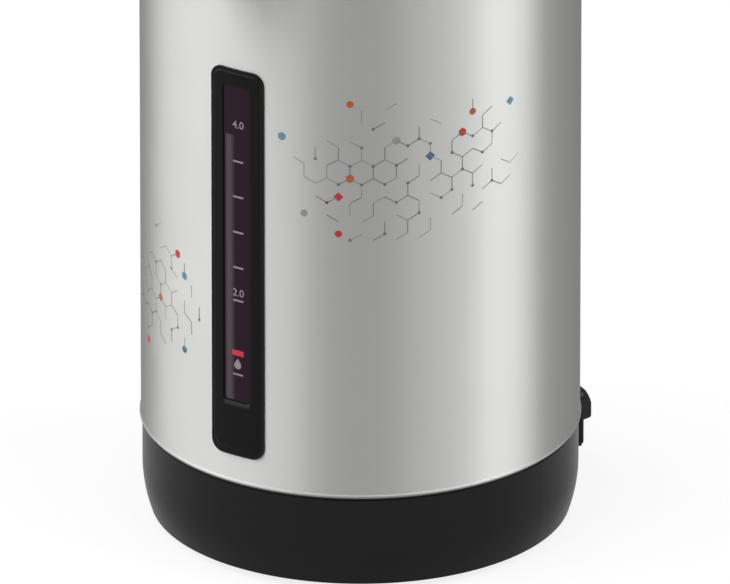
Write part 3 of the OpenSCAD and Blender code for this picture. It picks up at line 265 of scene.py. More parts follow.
def surface(name, colour, roughness, spread, patch, detail, grain=0.0, depth=0.0, gloss=(1.0, 1.0), **values):
    """A material whose colour wanders in patches by the spread's share, and its roughness between the two
    shares in gloss, with a grain depth micrometres high. patch and grain are sizes in mm."""
    material, tree, shader, place = start(name)
    clouds, tone = mottled(tree, place, patch * MM, detail, colour, spread)
    low, high = (roughness * k for k in gloss)
    if low != high:
        low = add(tree, "ShaderNodeMapRange", {"Value": clouds, "To Min": low, "To Max": high}).outputs[0]
    if depth:
        skin = add(tree, "ShaderNodeTexNoise", {"Vector": place, "Scale": 1 / (grain * MM), "Detail": detail})
        bump = add(tree, "ShaderNodeBump", {"Height": skin.outputs["Fac"], "Distance": depth * MICRON})
        dress(shader, normal=bump.outputs[0])
    dress(shader, base_color=tone, roughness=low, **values)
    return material


def plastic(name, colour, roughness, grain=0.35, depth=4.0, cloud=0.06, shine=0.5):
    """Injection-moulded plastic. Cooling leaves faint clouds a few cm wide in its gloss, and the mould's
    spark-eroded or polished wall leaves a grain."""
    return surface(
        name, colour, roughness, cloud, 28, 2.0, grain, depth, (0.8, 1.2), ior=1.5, specular_ior_level=shine
    )


def hairline_metal(
    name, colour, roughness, pitch=0.25, contrast=0.04, across=(30.0, 30.0, 1.0), anisotropy=0.0, flop=1.0
):
    """Rolled, drawn or turned metal. The rolls or the lathe leave parallel hairlines: pitch is their
    spacing in mm, and across says how many times longer they run along X, Y and Z than they are wide. Real
    hairlines are 0.02 to 0.1 mm apart, too fine to show, so they are drawn coarser. flop is how much of the
    light is left near grazing."""
    material, tree, shader, place = start(name)
    scale = tuple(1 / (pitch * MM * k) for k in across)
    stretched = add(tree, "ShaderNodeMapping", {"Vector": place, "Scale": scale})
    lines, tone = mottled(tree, stretched.outputs[0], 1.0, 3.0, colour, contrast)
    smears = add(tree, "ShaderNodeTexNoise", {"Vector": place, "Scale": 1 / (35 * MM), "Detail": 2.0})
    gloss = add(
        tree, "ShaderNodeMapRange",
        {"Value": smears.outputs["Fac"], "To Min": roughness * 0.85, "To Max": roughness * 1.15},
    )
    bump = add(tree, "ShaderNodeBump", {"Height": lines, "Distance": 1.5 * MICRON})
    dress(
        shader, base_color=tone, metallic=1.0, roughness=gloss.outputs[0], normal=bump.outputs[0],
        anisotropic=anisotropy, specular_tint=(flop, flop, flop, 1.0),
    )
    if anisotropy:
        # the hairlines run round the pot's axis, so reflections stretch up and down
        upright = add(tree, "ShaderNodeCombineXYZ", {"Z": 1.0})
        dress(shader, tangent=upright.outputs[0])
    return material


def cast_metal(name, colour, roughness, grain=0.8, depth=25.0):
    """Cast or plated metal: a skin without direction, slightly dull, whose grains are also its patches."""
    return surface(name, colour, roughness, 0.08, grain, 4.0, grain, depth, metallic=1.0)


def elastomer(name, colour, roughness=0.7, subsurface=0.0, grain=0.5):
    """Rubber, silicone or a soft grip: matt, with dust in patches 12 mm wide and the dry grain of its mould.
    Pale silicone lets light in a little."""
    return surface(
        name, colour, roughness, 0.12, 12, 3.0, grain, 15, ior=1.45, subsurface_weight=subsurface,
        subsurface_scale=2 * MM,
    )


def clear(name, tint, transmission, roughness=0.03, ior=1.49, shine=0.5):
    """Glass or acrylic: transparent as far as its smoke lets light through, with a faint polishing haze."""
    return surface(
        name, tint, roughness, 0.05, HAZE, 2.0, gloss=(1.0, 2.2), ior=ior, transmission_weight=transmission,
        specular_ior_level=shine,
    )


def screen_ink(name, colour, roughness=0.45):
    """Screen-printed ink: flat and a little dull, with the faint mottle that the mesh leaves 0.4 mm apart."""
    return surface(name, colour, roughness, 0.06, 0.4, 1.0, ior=1.48)


def painted_tube_highlight(name, colour, smoke):
    """A painted highlight that stands for the lit gauge tube seen through smoked acrylic: a colour brightest
    along its middle, sinking into the smoke at both sides, under the lens's gloss. The piece's UV map runs
    across it."""
    material, tree, shader, place = start(name)
    across = add(tree, "ShaderNodeUVMap", uv_map="Across")
    wide = add(tree, "ShaderNodeSeparateXYZ", {"Vector": across.outputs[0]})
    # painted highlight: the ramp lightens the strip's middle and darkens its sides
    glow = add(tree, "ShaderNodeValToRGB", {"Fac": wide.outputs["X"]})
    glow.color_ramp.interpolation = "EASE"
    stops = glow.color_ramp.elements
    stops[0].color, stops[1].color = (*smoke, 1.0), (*smoke, 1.0)
    stops.new(0.45).color = (*colour, 1.0)
    haze = add(tree, "ShaderNodeTexNoise", {"Vector": place, "Scale": 1 / (HAZE * MM), "Detail": 2.0})
    gloss = add(tree, "ShaderNodeMapRange", {"Value": haze.outputs["Fac"], "To Min": 0.1, "To Max": 0.2})
    dress(shader, base_color=glow.outputs["Color"], roughness=gloss.outputs[0], ior=1.49)
    return material


def circuit_board(name):
    """Glass-fibre board under green solder mask: copper tracks 0.8 mm wide show through as a lighter net."""
    material, tree, shader, place = start(name)
    greens = zip(("Color1", "Color2", "Mortar"), ("#1d5a38", "#1a5233", "#3f8a5d"))
    net = {"Scale": 1.0, "Mortar Size": 0.4 * MM, "Brick Width": 9 * MM, "Row Height": 3 * MM}
    net |= {socket: (*linear(green), 1.0) for socket, green in greens}
    tracks = add(tree, "ShaderNodeTexBrick", {"Vector": place, **net}, offset=0.37)
    weave = add(tree, "ShaderNodeTexNoise", {"Vector": place, "Scale": 1 / (0.7 * MM), "Detail": 2.0})
    bump = add(tree, "ShaderNodeBump", {"Height": weave.outputs["Fac"], "Distance": 8 * MICRON})
    dress(shader, base_color=tracks.outputs["Color"], roughness=0.35, normal=bump.outputs[0], ior=1.5)
    return material


def heated_steel(name):
    """Sheathed heating element: steel that has run blue, straw and brown where it has been hot."""
    material, tree, shader, place = start(name)
    heat = add(tree, "ShaderNodeTexNoise", {"Vector": place, "Scale": 1 / (14 * MM), "Detail": 4.0})
    ramp = add(tree, "ShaderNodeValToRGB", {"Fac": heat.outputs["Fac"]})
    stops = ramp.color_ramp.elements
    stops[0].position, stops[0].color = 0.3, (*linear("#5c5f70"), 1.0)
    stops[1].position, stops[1].color = 0.7, (*linear("#7d6450"), 1.0)
    stops.new(0.5).color = (*linear("#9a8260"), 1.0)
    dress(shader, base_color=ramp.outputs["Color"], metallic=1.0, roughness=0.42)
    return material


def paint(material, *nodes):
    """Gives CAD nodes a material."""
    for name in nodes:
        for slot in frame["nodes"][name].material_slots:
            slot.material = material


# ---- Shapes ----


def put(name, data):
    """A new object of the scene, made of that mesh, curve, light or camera."""
    item = bpy.data.objects.new(name, data)
    bpy.context.scene.collection.objects.link(item)
    return item


def bearing(azimuth, out, up):
    """The point in that direction, that far out from the pot's axis and that far up."""
    return Vector((math.sin(azimuth) * out, -math.cos(azimuth) * out, up))


def new_mesh(name, points, faces, materials):
    """A mesh from an array of points in metres and faces of point numbers."""
    mesh = bpy.data.meshes.new(name)
    places = np.asarray(points, float).reshape(-1, 3).tolist()
    mesh.from_pydata(places, [], [list(map(int, face)) for face in faces])
    for material in materials:
        mesh.materials.append(material)
    mesh.update()
    return mesh


def new_piece(name, points, faces, materials, body, picks=None, skin=PRINT_SKIN, smooth=False):
    """A mesh piece that rides on a body. picks is the number of each face's material. A print is given its
    thickness inwards, so that it is a closed solid: skin is that thickness in mm."""
    mesh = new_mesh(name, points, faces, materials)
    if picks is not None:
        mesh.polygons.foreach_set("material_index", np.asarray(picks, np.int32))
    mesh.polygons.foreach_set("use_smooth", np.full(len(mesh.polygons), smooth))
    mesh.update()
    piece = put(name, mesh)
    if skin:
        wall = piece.modifiers.new("Skin", "SOLIDIFY")
        wall.thickness, wall.offset = skin * MM, -1.0
    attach(piece, body)
    return piece


def pressed(node, material, body):
    """Stands for a soft CAD node or a spring that its joint presses together: the node's own triangles with
    their corners merged."""
    points, merged = np.unique(corners(node).round(7), axis=0, return_inverse=True)
    triangles = read(frame["nodes"][node].data.loops, "vertex_index", np.int32).reshape(-1, 3)
    faces = merged.ravel()[triangles]
    piece = new_piece(node + "_pressed", points, faces, [material], body, skin=0, smooth=True)
    piece.data.set_sharp_from_angle(angle=math.radians(40))
    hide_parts(node)
    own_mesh(piece)


def round_the_pot(plan, radius, azimuth=0.0):
    """A flat drawing in mm, x to the right and z up as seen from outside, rolled on a cylinder about the
    pot's axis: the angle is the azimuth plus x over the radius."""
    plan = np.asarray(plan, float)
    angle = azimuth + plan[..., 0] / radius
    return np.stack([radius * np.sin(angle), -radius * np.cos(angle), plan[..., 1]], -1) * MM


def on_top(plan, node, lift=PRINT_LIFT):
    """A flat drawing in mm, laid on the flat top of a piece on the sloping panel."""
    plan = np.asarray(plan, float)
    centre, across, up, out = top_plane(node)
    return centre + (plan[..., :1] * across + plan[..., 1:2] * up + lift * out) * MM


def grid_faces(rows, columns, closed=False):
    """Quads of a grid of points numbered row by row. A closed grid joins its last column to its first."""
    wide = columns if closed else columns - 1
    r, c = np.meshgrid(np.arange(rows - 1), np.arange(wide), indexing="ij")
    n = (c + 1) % columns
    near, far = r * columns, (r + 1) * columns
    return np.stack([near + c, near + n, far + n, far + c], -1).reshape(-1, 4)


def circle(sides, turn=0.0):
    """Angles at even steps all the way round."""
    return turn + np.arange(sides) * 2 * np.pi / sides


def unit(angle):
    """Points of the unit circle at those angles."""
    return np.stack([np.cos(angle), np.sin(angle)], -1)


def rounded_loop(width, height, corner, straight=12, arc=8):
    """Points round a rectangle with round corners, anticlockwise: quarter arcs joined by straight runs."""
    arcs = []
    for k, (sx, sz) in enumerate([(1, -1), (1, 1), (-1, 1), (-1, -1)]):
        angle = np.radians(90 * k - 90) + np.linspace(0, np.pi / 2, arc)
        centre = np.array([sx * (width / 2 - corner), sz * (height / 2 - corner)])
        arcs.append(centre + corner * unit(angle))
    t = np.linspace(0, 1, straight + 2)[1:-1, None]
    runs = [a[-1] + t * (b[0] - a[-1]) for a, b in zip(arcs, arcs[1:] + arcs[:1])]
    return np.concatenate([part for pair in zip(arcs, runs) for part in pair])


def strokes(ends, width, steps=4):
    """Flat bars of one width between pairs of points (m, 2, 2), each cut into steps along its length."""
    ends = np.asarray(ends, float)
    along = ends[:, 1] - ends[:, 0]
    side = np.stack([along[:, 1], -along[:, 0]], -1)
    side *= width / 2 / np.linalg.norm(side, axis=1, keepdims=True)
    t = np.linspace(0, 1, steps + 1)
    middle = ends[:, None, 0] + t[None, :, None] * along[:, None]
    points = np.stack([middle + side[:, None], middle - side[:, None]], 2)
    one = grid_faces(steps + 1, 2)[:, ::-1]
    faces = one[None] + (np.arange(len(ends)) * (steps + 1) * 2)[:, None, None]
    return points.reshape(-1, 2), faces.reshape(-1, 4)


def polygons(centres, radius, sides, turn=0.0):
    """Regular polygons of that radius round each centre, one face each."""
    rim = radius * unit(circle(sides, turn))
    centres = np.asarray(centres, float)
    faces = np.arange(sides)[None] + (np.arange(len(centres)) * sides)[:, None]
    return (centres[:, None] + rim[None]).reshape(-1, 2), faces


def ring(inner, outer, sides=64):
    """A flat ring between two radii."""
    rim = unit(circle(sides))
    return np.concatenate([rim * outer, rim * inner]), grid_faces(2, sides, closed=True)


def gather(parts):
    """Joins (points, faces, pick) drawings into one: points, faces and the material number of each face."""
    points, faces, picks, first = [], [], [], 0
    for p, f, pick in parts:
        points.append(p)
        faces.extend((np.asarray(f) + first).tolist())
        picks.extend([pick] * len(f))
        first += len(p)
    return np.concatenate(points), faces, picks


def words(text, size, centre=(0.0, 0.0)):
    """A number as a flat drawing: Blender's own font, size mm high and centred on a point."""
    curve = bpy.data.curves.new("number", "FONT")
    curve.body, curve.size, curve.offset = text, size / CAPITAL, size * BOLD
    item = put("number", curve)
    bpy.context.view_layer.update()
    mesh = bpy.data.meshes.new_from_object(item.evaluated_get(bpy.context.evaluated_depsgraph_get()))
    flat = read(mesh.vertices, "co", wide=3)[:, :2].astype(float)
    flat += np.array(centre) - (flat.min(0) + flat.max(0)) / 2
    faces = [list(p.vertices) for p in mesh.polygons]
    bpy.data.batch_remove((item, curve, mesh))
    return flat, faces


# ---- Operators ----


class POT_OT_case(Operator):
    """Finishes the steel case and lays its lacquer over it"""

    bl_idname = "pot.case"
    bl_label = "Case"

    SIDES, HEM_STEPS, WALL_STEPS = 288, 12, 24
    CLEAR = 1.0  # mm from the gauge's window to the lacquer

    def execute(self, context):
        colours = context.scene.pot_colours
        # Pre-lacquered steel sheet, roller coated: a satin metallic silver whose sheen stretches up and
        # down, because the rolling direction runs round the pot
        silver = hairline_metal(
            "Silver lacquered steel sheet", colours.case, 0.5, pitch=0.5, contrast=0.012, across=(40, 40, 1),
            anisotropy=0.9, flop=0.6,
        )
        # The same lacquer, stretched thin where the sheet is rolled into its hem: darker, with an even sheen
        rolled = hairline_metal("Silver lacquer over the rolled hem", "#adadab", 0.5, contrast=0.02)
        paint(silver, "outer_case")
        self.lacquer(context.scene.pot_print.hem / MM, [silver, rolled])
        return {"FINISHED"}

    def lacquer(self, hem, materials):
        """The case's outside as one smooth surface of revolution: a circle round the rolled hem, from its
        lowest point to where it meets the wall, then the straight wall. Faces behind the gauge's window are
        left open."""
        low, high = box_mm("outer_case")
        window_low, window_high = box_mm("gauge_lens")
        window_low.z, window_high.z = window_low.z - self.CLEAR, window_high.z + self.CLEAR
        meet = math.acos((hem - (HEM_R - CASE_R)) / hem)
        angle = np.linspace(-np.pi / 2, meet, self.HEM_STEPS)
        bead = np.array([HEM_R - hem, low.z + hem]) + hem * unit(angle)
        steps = np.linspace(bead[-1, 1] + 0.5, high.z - 0.05, self.WALL_STEPS)
        steps = np.sort(np.concatenate([[window_low.z, window_high.z], steps]))
        wall = np.stack([np.full(len(steps), CASE_R), steps], -1)
        profile = np.concatenate([bead, wall]) + np.array([LACQUER, 0.0])
        azimuth = circle(self.SIDES)
        radius, height = profile[:, :1], np.broadcast_to(profile[:, 1:], (len(profile), self.SIDES))
        points = np.stack([radius * np.sin(azimuth), -radius * np.cos(azimuth), height], -1) * MM
        faces = grid_faces(len(profile), self.SIDES, closed=True)
        on_hem = np.repeat(np.arange(len(profile) - 1) < len(bead) - 1, self.SIDES)
        middle = points.reshape(-1, 3)[faces].mean(1) / MM
        half_window = (window_high.x - window_low.x) / 2 + self.CLEAR
        behind = (middle[:, 1] < 0) & (np.abs(middle[:, 0]) < half_window)
        behind &= (middle[:, 2] > window_low.z) & (middle[:, 2] < window_high.z)
        new_piece(
            "case_lacquer", points, faces[~behind], materials, "pot", on_hem[~behind], skin=LACQUER_SKIN,
            smooth=True,
        )


class POT_OT_base(Operator):
    """Finishes the base, its cover and the turntable"""

    bl_idname = "pot.base"
    bl_label = "Base"

    def execute(self, context):
        colours = context.scene.pot_colours
        # ABS from a polished mould: deep black with clear reflections
        paint(plastic("Polished black ABS", colours.base, 0.22, depth=1.0, shine=0.38), "base_housing")
        # PP from a spark-eroded mould: dull black with a fine grain
        grained = plastic("Grained black polypropylene", "#1d1d1e", 0.5, grain=0.5, depth=14.0)
        paint(grained, "bottom_cover", "turntable_plate")
        # Nitrile rubber, vulcanised in its mould: matt black with a dry grain
        paint(elastomer("Black nitrile rubber", "#19191a"), "rubber_feet")
        # POM runs against the cover: waxy white
        paint(plastic("White acetal", "#dedbd2", 0.35, depth=2.0), "glide_ring")
        # Steel with bright zinc plating: a cloudy bluish grey
        zinc = cast_metal("Zinc plated steel", "#b5b8bb", 0.32, grain=0.6, depth=4.0)
        paint(zinc, "bottom_screws", "pivot_screw", "pivot_washer", "heater_nuts", "tie_rods")
        return {"FINISHED"}


class POT_OT_inlet(Operator):
    """Finishes the power inlet"""

    bl_idname = "pot.inlet"
    bl_label = "Inlet"

    def execute(self, context):
        # PA 66 with glass fibre: black, a little dry
        paint(plastic("Black glass-filled nylon", "#131313", 0.42, grain=0.4, depth=10.0), "inlet_housing")
        # Turned brass under thin nickel: warm and bright
        paint(cast_metal("Nickel plated brass", "#cfc49a", 0.22, grain=1.0, depth=1.0), "inlet_pins")
        # Stamped soft iron that the plug's magnets hold: dull grey
        paint(cast_metal("Soft iron", "#8f9194", 0.4), "inlet_magnets")
        return {"FINISHED"}


class POT_OT_gauge(Operator):
    """Finishes the gauge, lays its face round the window and prints its scale"""

    bl_idname = "pot.gauge"
    bl_label = "Gauge"

    BORDER, EDGE = 1.7, 0.35  # mm from the face to the bezel's rim and to the window
    OUTER_CORNER, INNER_CORNER = 4.4, 2.2  # radii in mm of the face's outlines
    FACE_ROWS = 9
    # The painted highlight strip in mm, which stands for the lit gauge tube: its left and right side from the
    # window's left edge, its foot above the window's lower edge, its head above the table, and how much it
    # tapers at both ends
    LEFT, RIGHT, FOOT, HEAD, TAPER = 0.25, 6.4, 0.4, 224.3, 0.6
    COLUMNS = 7
    # The scale in mm: x of the middle and height of each number; left end, right end, height and width of
    # each bar with the number of its ink; middle and radius of the drop
    NUMBERS = (("4.0", (1.0, 230.0)), ("2.0", (1.0, 145.5)))
    BARS = (
        *((-1.8, 3.8, z, 0.9, 0) for z in (211.5, 193.7, 175.9, 158.1, 141.5)),
        (-2.6, 3.9, 115.0, 2.7, 1), (-2.0, 3.6, 104.2, 0.8, 0),
    )
    DROP, DROP_R = (0.6, 108.8), 1.9

    def execute(self, context):
        colours, prints = context.scene.pot_colours, context.scene.pot_print
        # PMMA from a mirror-polished mould: black with hard reflections
        paint(plastic("Piano black acrylic", colours.bezel, 0.12, depth=0.5, shine=0.3), "gauge_bezel")
        # Smoked PMMA: nearly opaque violet
        paint(clear("Smoked violet acrylic", colours.window, 0.15, shine=0.2), "gauge_lens")
        # Drawn glass: clear, with a breath of blue
        paint(clear("Borosilicate glass", "#eef5f6", 1.0, ior=1.47), "gauge_tube")
        # ABS, moulded: the dark satin back of the gauge
        paint(plastic("Violet ABS", "#2a1c24", 0.4), "gauge_channel")
        # Silicone rubber, moulded and extruded: milky, light enters it a little
        paint(elastomer("White silicone", "#ddd9cf", 0.45, subsurface=0.15), "gauge_seal", "delivery_hose")

        self.face(colours)
        self.column(colours)
        self.scale(colours, prints)
        return {"FINISHED"}

    def face(self, colours):
        """A satin inlay between the bezel's border and the window: both outlines are round-cornered loops
        with as many points, and the rows between them are straight blends, rolled on the bezel's radius."""
        loops = []
        for node, gap, corner in (
            ("gauge_bezel", -self.BORDER, self.OUTER_CORNER), ("gauge_lens", self.EDGE, self.INNER_CORNER)
        ):
            low, high = box_mm(node)
            loop = rounded_loop(high.x - low.x + 2 * gap, high.z - low.z + 2 * gap, corner)
            loops.append(loop + np.array([0.0, (low.z + high.z) / 2]))
        t = np.linspace(0, 1, self.FACE_ROWS)[:, None, None]
        flat = loops[0][None] * (1 - t) + loops[1][None] * t
        # PET film with black ink on its back: satin, with faint clouds
        satin = plastic("Satin black film", colours.inlay, 0.38, grain=0.3, depth=3.0, cloud=0.04, shine=0.2)
        new_piece(
            "gauge_face", round_the_pot(flat, BEZEL_R + PRINT_LIFT),
            grid_faces(self.FACE_ROWS, len(loops[0]), closed=True), [satin], "pot", smooth=True,
        )

    def column(self, colours):
        """A painted highlight beside the scale, standing for the lit gauge tube: an upright bar with round
        ends, as rows of points whose half width follows a circle at each end. Its UV map runs from 0 to 1
        across it, for the painted highlight that fades towards both sides."""
        low = box_mm("gauge_lens")[0]
        left, right, foot, head = low.x + self.LEFT, low.x + self.RIGHT, low.z + self.FOOT, self.HEAD
        z = np.concatenate([
            foot + np.linspace(0, 1, 9) ** 2 * self.TAPER, np.linspace(foot + 4, head - 4, 24),
            head - np.linspace(1, 0, 9) ** 2 * self.TAPER])
        inset = (1 - np.minimum(z - foot, head - z) / self.TAPER).clip(0)
        end = np.sqrt(np.clip(1 - inset**2, 0.04, 1))
        middle, half = (left + right) / 2, (right - left) / 2 * (0.7 + 0.3 * end)
        across = np.linspace(-1, 1, self.COLUMNS)
        size = (len(z), self.COLUMNS)
        flat = np.stack([middle + half[:, None] * across, np.broadcast_to(z[:, None], size)], -1)
        # Painted highlight: a grey violet strip for the lit gauge tube, brightest along its middle and
        # sinking into the window's smoke at both sides
        water = painted_tube_highlight("Water behind smoked acrylic", colours.column, colours.window)
        piece = new_piece(
            "gauge_column", round_the_pot(flat, LENS_R + PRINT_LIFT), grid_faces(*size), [water], "pot",
            smooth=True,
        )
        point = read(piece.data.loops, "vertex_index", np.int32).ravel()
        u = np.broadcast_to((across + 1) / 2, size).ravel()[point]
        uv = np.stack([u, np.zeros(len(u))], -1).ravel().astype(np.float32)
        piece.data.uv_layers.new(name="Across").data.foreach_set("uv", uv)

    def scale(self, colours, prints):
        """Numbers in litres, marks between them, a refill bar and a drop, printed on the window."""
        parts = [(*words(text, prints.digits / MM, centre), 0) for text, centre in self.NUMBERS]
        for left, right, height, width, ink in self.BARS:
            parts.append((*strokes([((left, height), (right, height))], width), ink))
        parts.append((*self.drop(self.DROP, self.DROP_R), 0))
        flat, faces, picks = gather(parts)
        # Screen inks on the acrylic: opaque and flat
        inks = [screen_ink("Grey scale ink", colours.marks), screen_ink("Red scale ink", colours.alert)]
        new_piece("gauge_scale", round_the_pot(flat, LENS_R + 2 * PRINT_LIFT), faces, inks, "pot", picks)

    @staticmethod
    def drop(centre, radius, sides=40):
        """A water drop: a circle whose upper half is drawn up into a point by the cube of its height."""
        x, z = unit(circle(sides, np.pi / 2)).T
        lift = np.clip(z, 0, 1) ** 3
        plan = np.stack([x * (1 - 0.55 * lift), z + 0.75 * lift], -1) * radius + np.array(centre)
        return plan, [list(range(sides))]


class POT_OT_print(Operator):
    """Prints two patches of a thin hexagon lattice with coloured accents on the case"""

    bl_idname = "pot.print"
    bl_label = "Case print"

    # Patches: name, azimuth in degrees and height in mm of the middle, half width and half height in mm,
    # and the accents as places in the patch from -1 to 1 with the number of their ink
    PATCHES = (
        ("case_print_right", 46.0, 213.0, 60.0, 37.0, (
            (-0.93, 0.52, 3), (-0.42, 0.80, 1), (-0.62, -0.28, 0), (-0.36, 0.02, 1), (-0.60, -0.90, 0),
            (0.10, 0.08, 2), (0.38, 0.30, 0), (0.55, 0.74, 1), (0.90, 0.60, 3), (-0.12, 0.45, 4),
            (-0.83, -0.52, 4))),
        ("case_print_left", -34.0, 128.0, 40.0, 34.0, (
            (0.42, 0.86, 0), (-0.25, 0.30, 4), (0.12, -0.05, 1), (0.55, 0.42, 3), (0.72, -0.62, 2),
            (-0.35, -0.80, 0))),
    )
    # Inks of the lines, with their colour property, and inks of the accents
    GREYS = (("Grey", "line_dark"), ("Pale grey", "line_pale"))
    INKS = (
        ("Red", "#d3423f"), ("Orange", "#cf6d33"), ("Blue", "#4a7596"), ("Pale blue", "#7da6c4"),
        ("Silver grey", "#a9aaa8"),
    )
    ACCENTS = ((6, 1.0), (24, 0.8), (4, 1.1))  # sides of the accents in turn, and their share of the size
    LEAN = 0.55  # how far the patch's dense band rises towards the right
    KEEP, DARK, DOTS = 0.85, 0.45, 0.3  # chances of an edge, of a dark one, and of a dot at its end

    def execute(self, context):
        colours, prints = context.scene.pot_colours, context.scene.pot_print
        # Screen inks baked on the lacquer: a little duller than the case
        shown = [(name, getattr(colours, line)) for name, line in self.GREYS]
        inks = [screen_ink(name + " print ink", colour) for name, colour in (*shown, *self.INKS)]
        draw = np.random.default_rng(prints.seed)
        for name, azimuth, height, half_w, half_h, accents in self.PATCHES:
            parts = self.lattice(draw, prints, half_w, half_h)
            for i, (u, v, ink) in enumerate(accents):
                spot = self.snap(np.array([u * half_w, v * half_h]), prints.cell / MM)
                sides, part = self.ACCENTS[i % len(self.ACCENTS)]
                accent = polygons([spot], prints.accent / MM / 2 * part, sides, np.pi / 2)
                parts.append((*accent, len(self.GREYS) + ink))
            flat, faces, picks = gather(parts)
            points = round_the_pot(
                flat + np.array([0.0, height]), CASE_R + LACQUER + INK_ON_LACQUER, math.radians(azimuth)
            )
            new_piece(name, points, faces, inks, "pot", picks)
        return {"FINISHED"}

    @staticmethod
    def snap(spot, cell):
        """The honeycomb's corner nearest to a spot: corners lie a cell above and below the centres."""
        wide, tall = cell * math.sqrt(3), cell * 1.5
        row = round((spot[1] - cell) / tall)
        column = round(spot[0] / wide - 0.5 * (row % 2))
        return np.array([(column + 0.5 * (row % 2)) * wide, row * tall + cell])

    def lattice(self, draw, prints, half_w, half_h):
        """Edges of a honeycomb: centres on rows 1.5 cells apart, each row moved half a pitch, and three
        edges from each cell. An edge is kept by chance, less often towards the patch's rim, and some get a
        dot at their end."""
        cell, line = prints.cell / MM, prints.line / MM
        wide, tall = cell * math.sqrt(3), cell * 1.5
        rows, columns = (
            np.arange(-math.ceil(half / pitch) - 1, math.ceil(half / pitch) + 2)
            for half, pitch in ((half_h, tall), (half_w, wide))
        )
        r, c = np.meshgrid(rows, columns, indexing="ij")
        centres = np.stack([(c + 0.5 * (r % 2)) * wide, r * tall], -1).reshape(-1, 1, 2)
        angle = np.pi / 2 + np.arange(4) * np.pi / 3
        corner = centres + cell * unit(angle)
        ends = np.stack([corner[:, :3], corner[:, 1:]], 2).reshape(-1, 2, 2)
        middle = ends.mean(1) / np.array([half_w, half_h])
        off_band = np.abs(middle[:, 1] - self.LEAN * middle[:, 0])
        chance = np.clip(1.15 - (middle**2).sum(1), 0, 1) * np.clip(1.25 - off_band, 0.1, 1)
        kept = draw.random(len(ends)) < self.KEEP * chance
        dark = draw.random(len(ends)) < self.DARK
        dots = kept & (draw.random(len(ends)) < self.DOTS)
        return [
            (*strokes(ends[kept & dark], line), 0),
            (*strokes(ends[kept & ~dark], line), 1),
            (*polygons(ends[dots, 1], line * 1.9, 12), 0),
        ]


class POT_OT_top(Operator):
    """Finishes the top frame, the spout and the control panel, and prints the panel"""

    bl_idname = "pot.top"
    bl_label = "Top"

    # The panel's print in mm from its middle: radii and place of the ring, places of the lamps, height and
    # place of the numbers beside them, and half length, place and width of the line
    RING, KEY_Y = (10.2, 10.7), -11.0
    LAMPS_X, DIGITS, DIGITS_Y = (-5, 0, 5), 1.7, 15.6
    LINE_X, LINE_Y, LINE = 17.0, 3.6, 0.25

    def execute(self, context):
        colours = context.scene.pot_colours
        # ABS from polished and from spark-eroded moulds: mirror gloss outside, satin where it faces the cup
        paint(plastic("Gloss black ABS", colours.top, 0.18, depth=1.0), "top_frame")
        satin = plastic("Satin black ABS", "#1b1b1d", 0.36, grain=0.4, depth=6.0)
        paint(satin, "spout_cover", "spout_nozzle")
        # PC film with charcoal ink on its back: satin, fine grained
        paint(plastic("Charcoal panel film", colours.panel, 0.4, grain=0.3, depth=5.0), "control_panel")
        # Vacuum-metallised ABS under clear lacquer: brushed silver that mirrors softly
        silver = hairline_metal(
            "Metallised silver ABS", colours.silver, 0.3, pitch=0.3, contrast=0.03, across=(40, 1, 40)
        )
        paint(silver, "dispense_button", "reboil_button", "lock_button")
        # PMMA dyed red: the lamps' caps glow through
        paint(clear("Red lamp acrylic", "#d8402a", 0.3, roughness=0.15), "indicator_leds")
        # Undyed PP: milky grey white and waxy
        paint(plastic("Natural polypropylene", "#c9ccd0", 0.3, depth=2.0), "spout_duct", "tip_valve_body")
        # Ground steel ball: bright, without direction
        paint(cast_metal("Ground steel", "#b9bbbd", 0.15, grain=0.6, depth=0.5), "tip_valve_ball")
        paint(circuit_board("Green circuit board"), "control_board", "power_board")
        self.panel(colours)
        return {"FINISHED"}

    def panel(self, colours):
        """A ring round the large key, temperatures beside the lamps, a line, and a sign on each key."""
        # Screen inks on film and keys
        white = screen_ink("White panel ink", "#d9dadb")
        grey = screen_ink("Dark key ink", "#3a3c40")
        red = screen_ink("Red key ink", "#c23a33")
        rim, rim_faces = ring(*self.RING)
        parts = [(rim + np.array([0.0, self.KEY_Y]), rim_faces, 0)]
        for x, text in zip(self.LAMPS_X, ("60", "80", "98")):
            parts.append((*words(text, self.DIGITS, (x, self.DIGITS_Y)), 0))
        parts.append((*strokes([((-self.LINE_X, self.LINE_Y), (self.LINE_X, self.LINE_Y))], self.LINE), 0))
        flat, faces, picks = gather(parts)
        new_piece("panel_print", on_top(flat, "control_panel"), faces, [white], "pot", picks)
        # a drop
        flat, faces = POT_OT_gauge.drop((0.0, -0.6), 3.1)
        new_piece("dispense_sign", on_top(flat, "dispense_button"), faces, [grey], "dispense")
        # three rising waves
        t = np.linspace(0, 1, 13)
        waves = [np.stack([x + 0.35 * np.sin(t * 2 * np.pi), -1.6 + 3.2 * t], -1) for x in (-1.3, 0.0, 1.3)]
        bars = np.concatenate([np.stack([w[:-1], w[1:]], 1) for w in waves])
        flat, faces = strokes(bars, 0.42, steps=1)
        new_piece("reboil_sign", on_top(flat, "reboil_button"), faces, [red], "reboil")
        # a padlock: its body and a half-round shackle
        body = np.array([[-1.5, -1.9], [1.5, -1.9], [1.5, 0.4], [-1.5, 0.4]])
        arch = unit(np.linspace(0, np.pi, 17)) + np.array([0.0, 0.9])
        shackle = np.concatenate([[[1.0, 0.4]], arch, [[-1.0, 0.4]]])
        links = strokes(np.stack([shackle[:-1], shackle[1:]], 1), 0.4, steps=1)
        flat, faces, _ = gather([(body, [[0, 1, 2, 3]], 0), (*links, 0)])
        new_piece("lock_sign", on_top(flat, "lock_button"), faces, [grey], "lock")


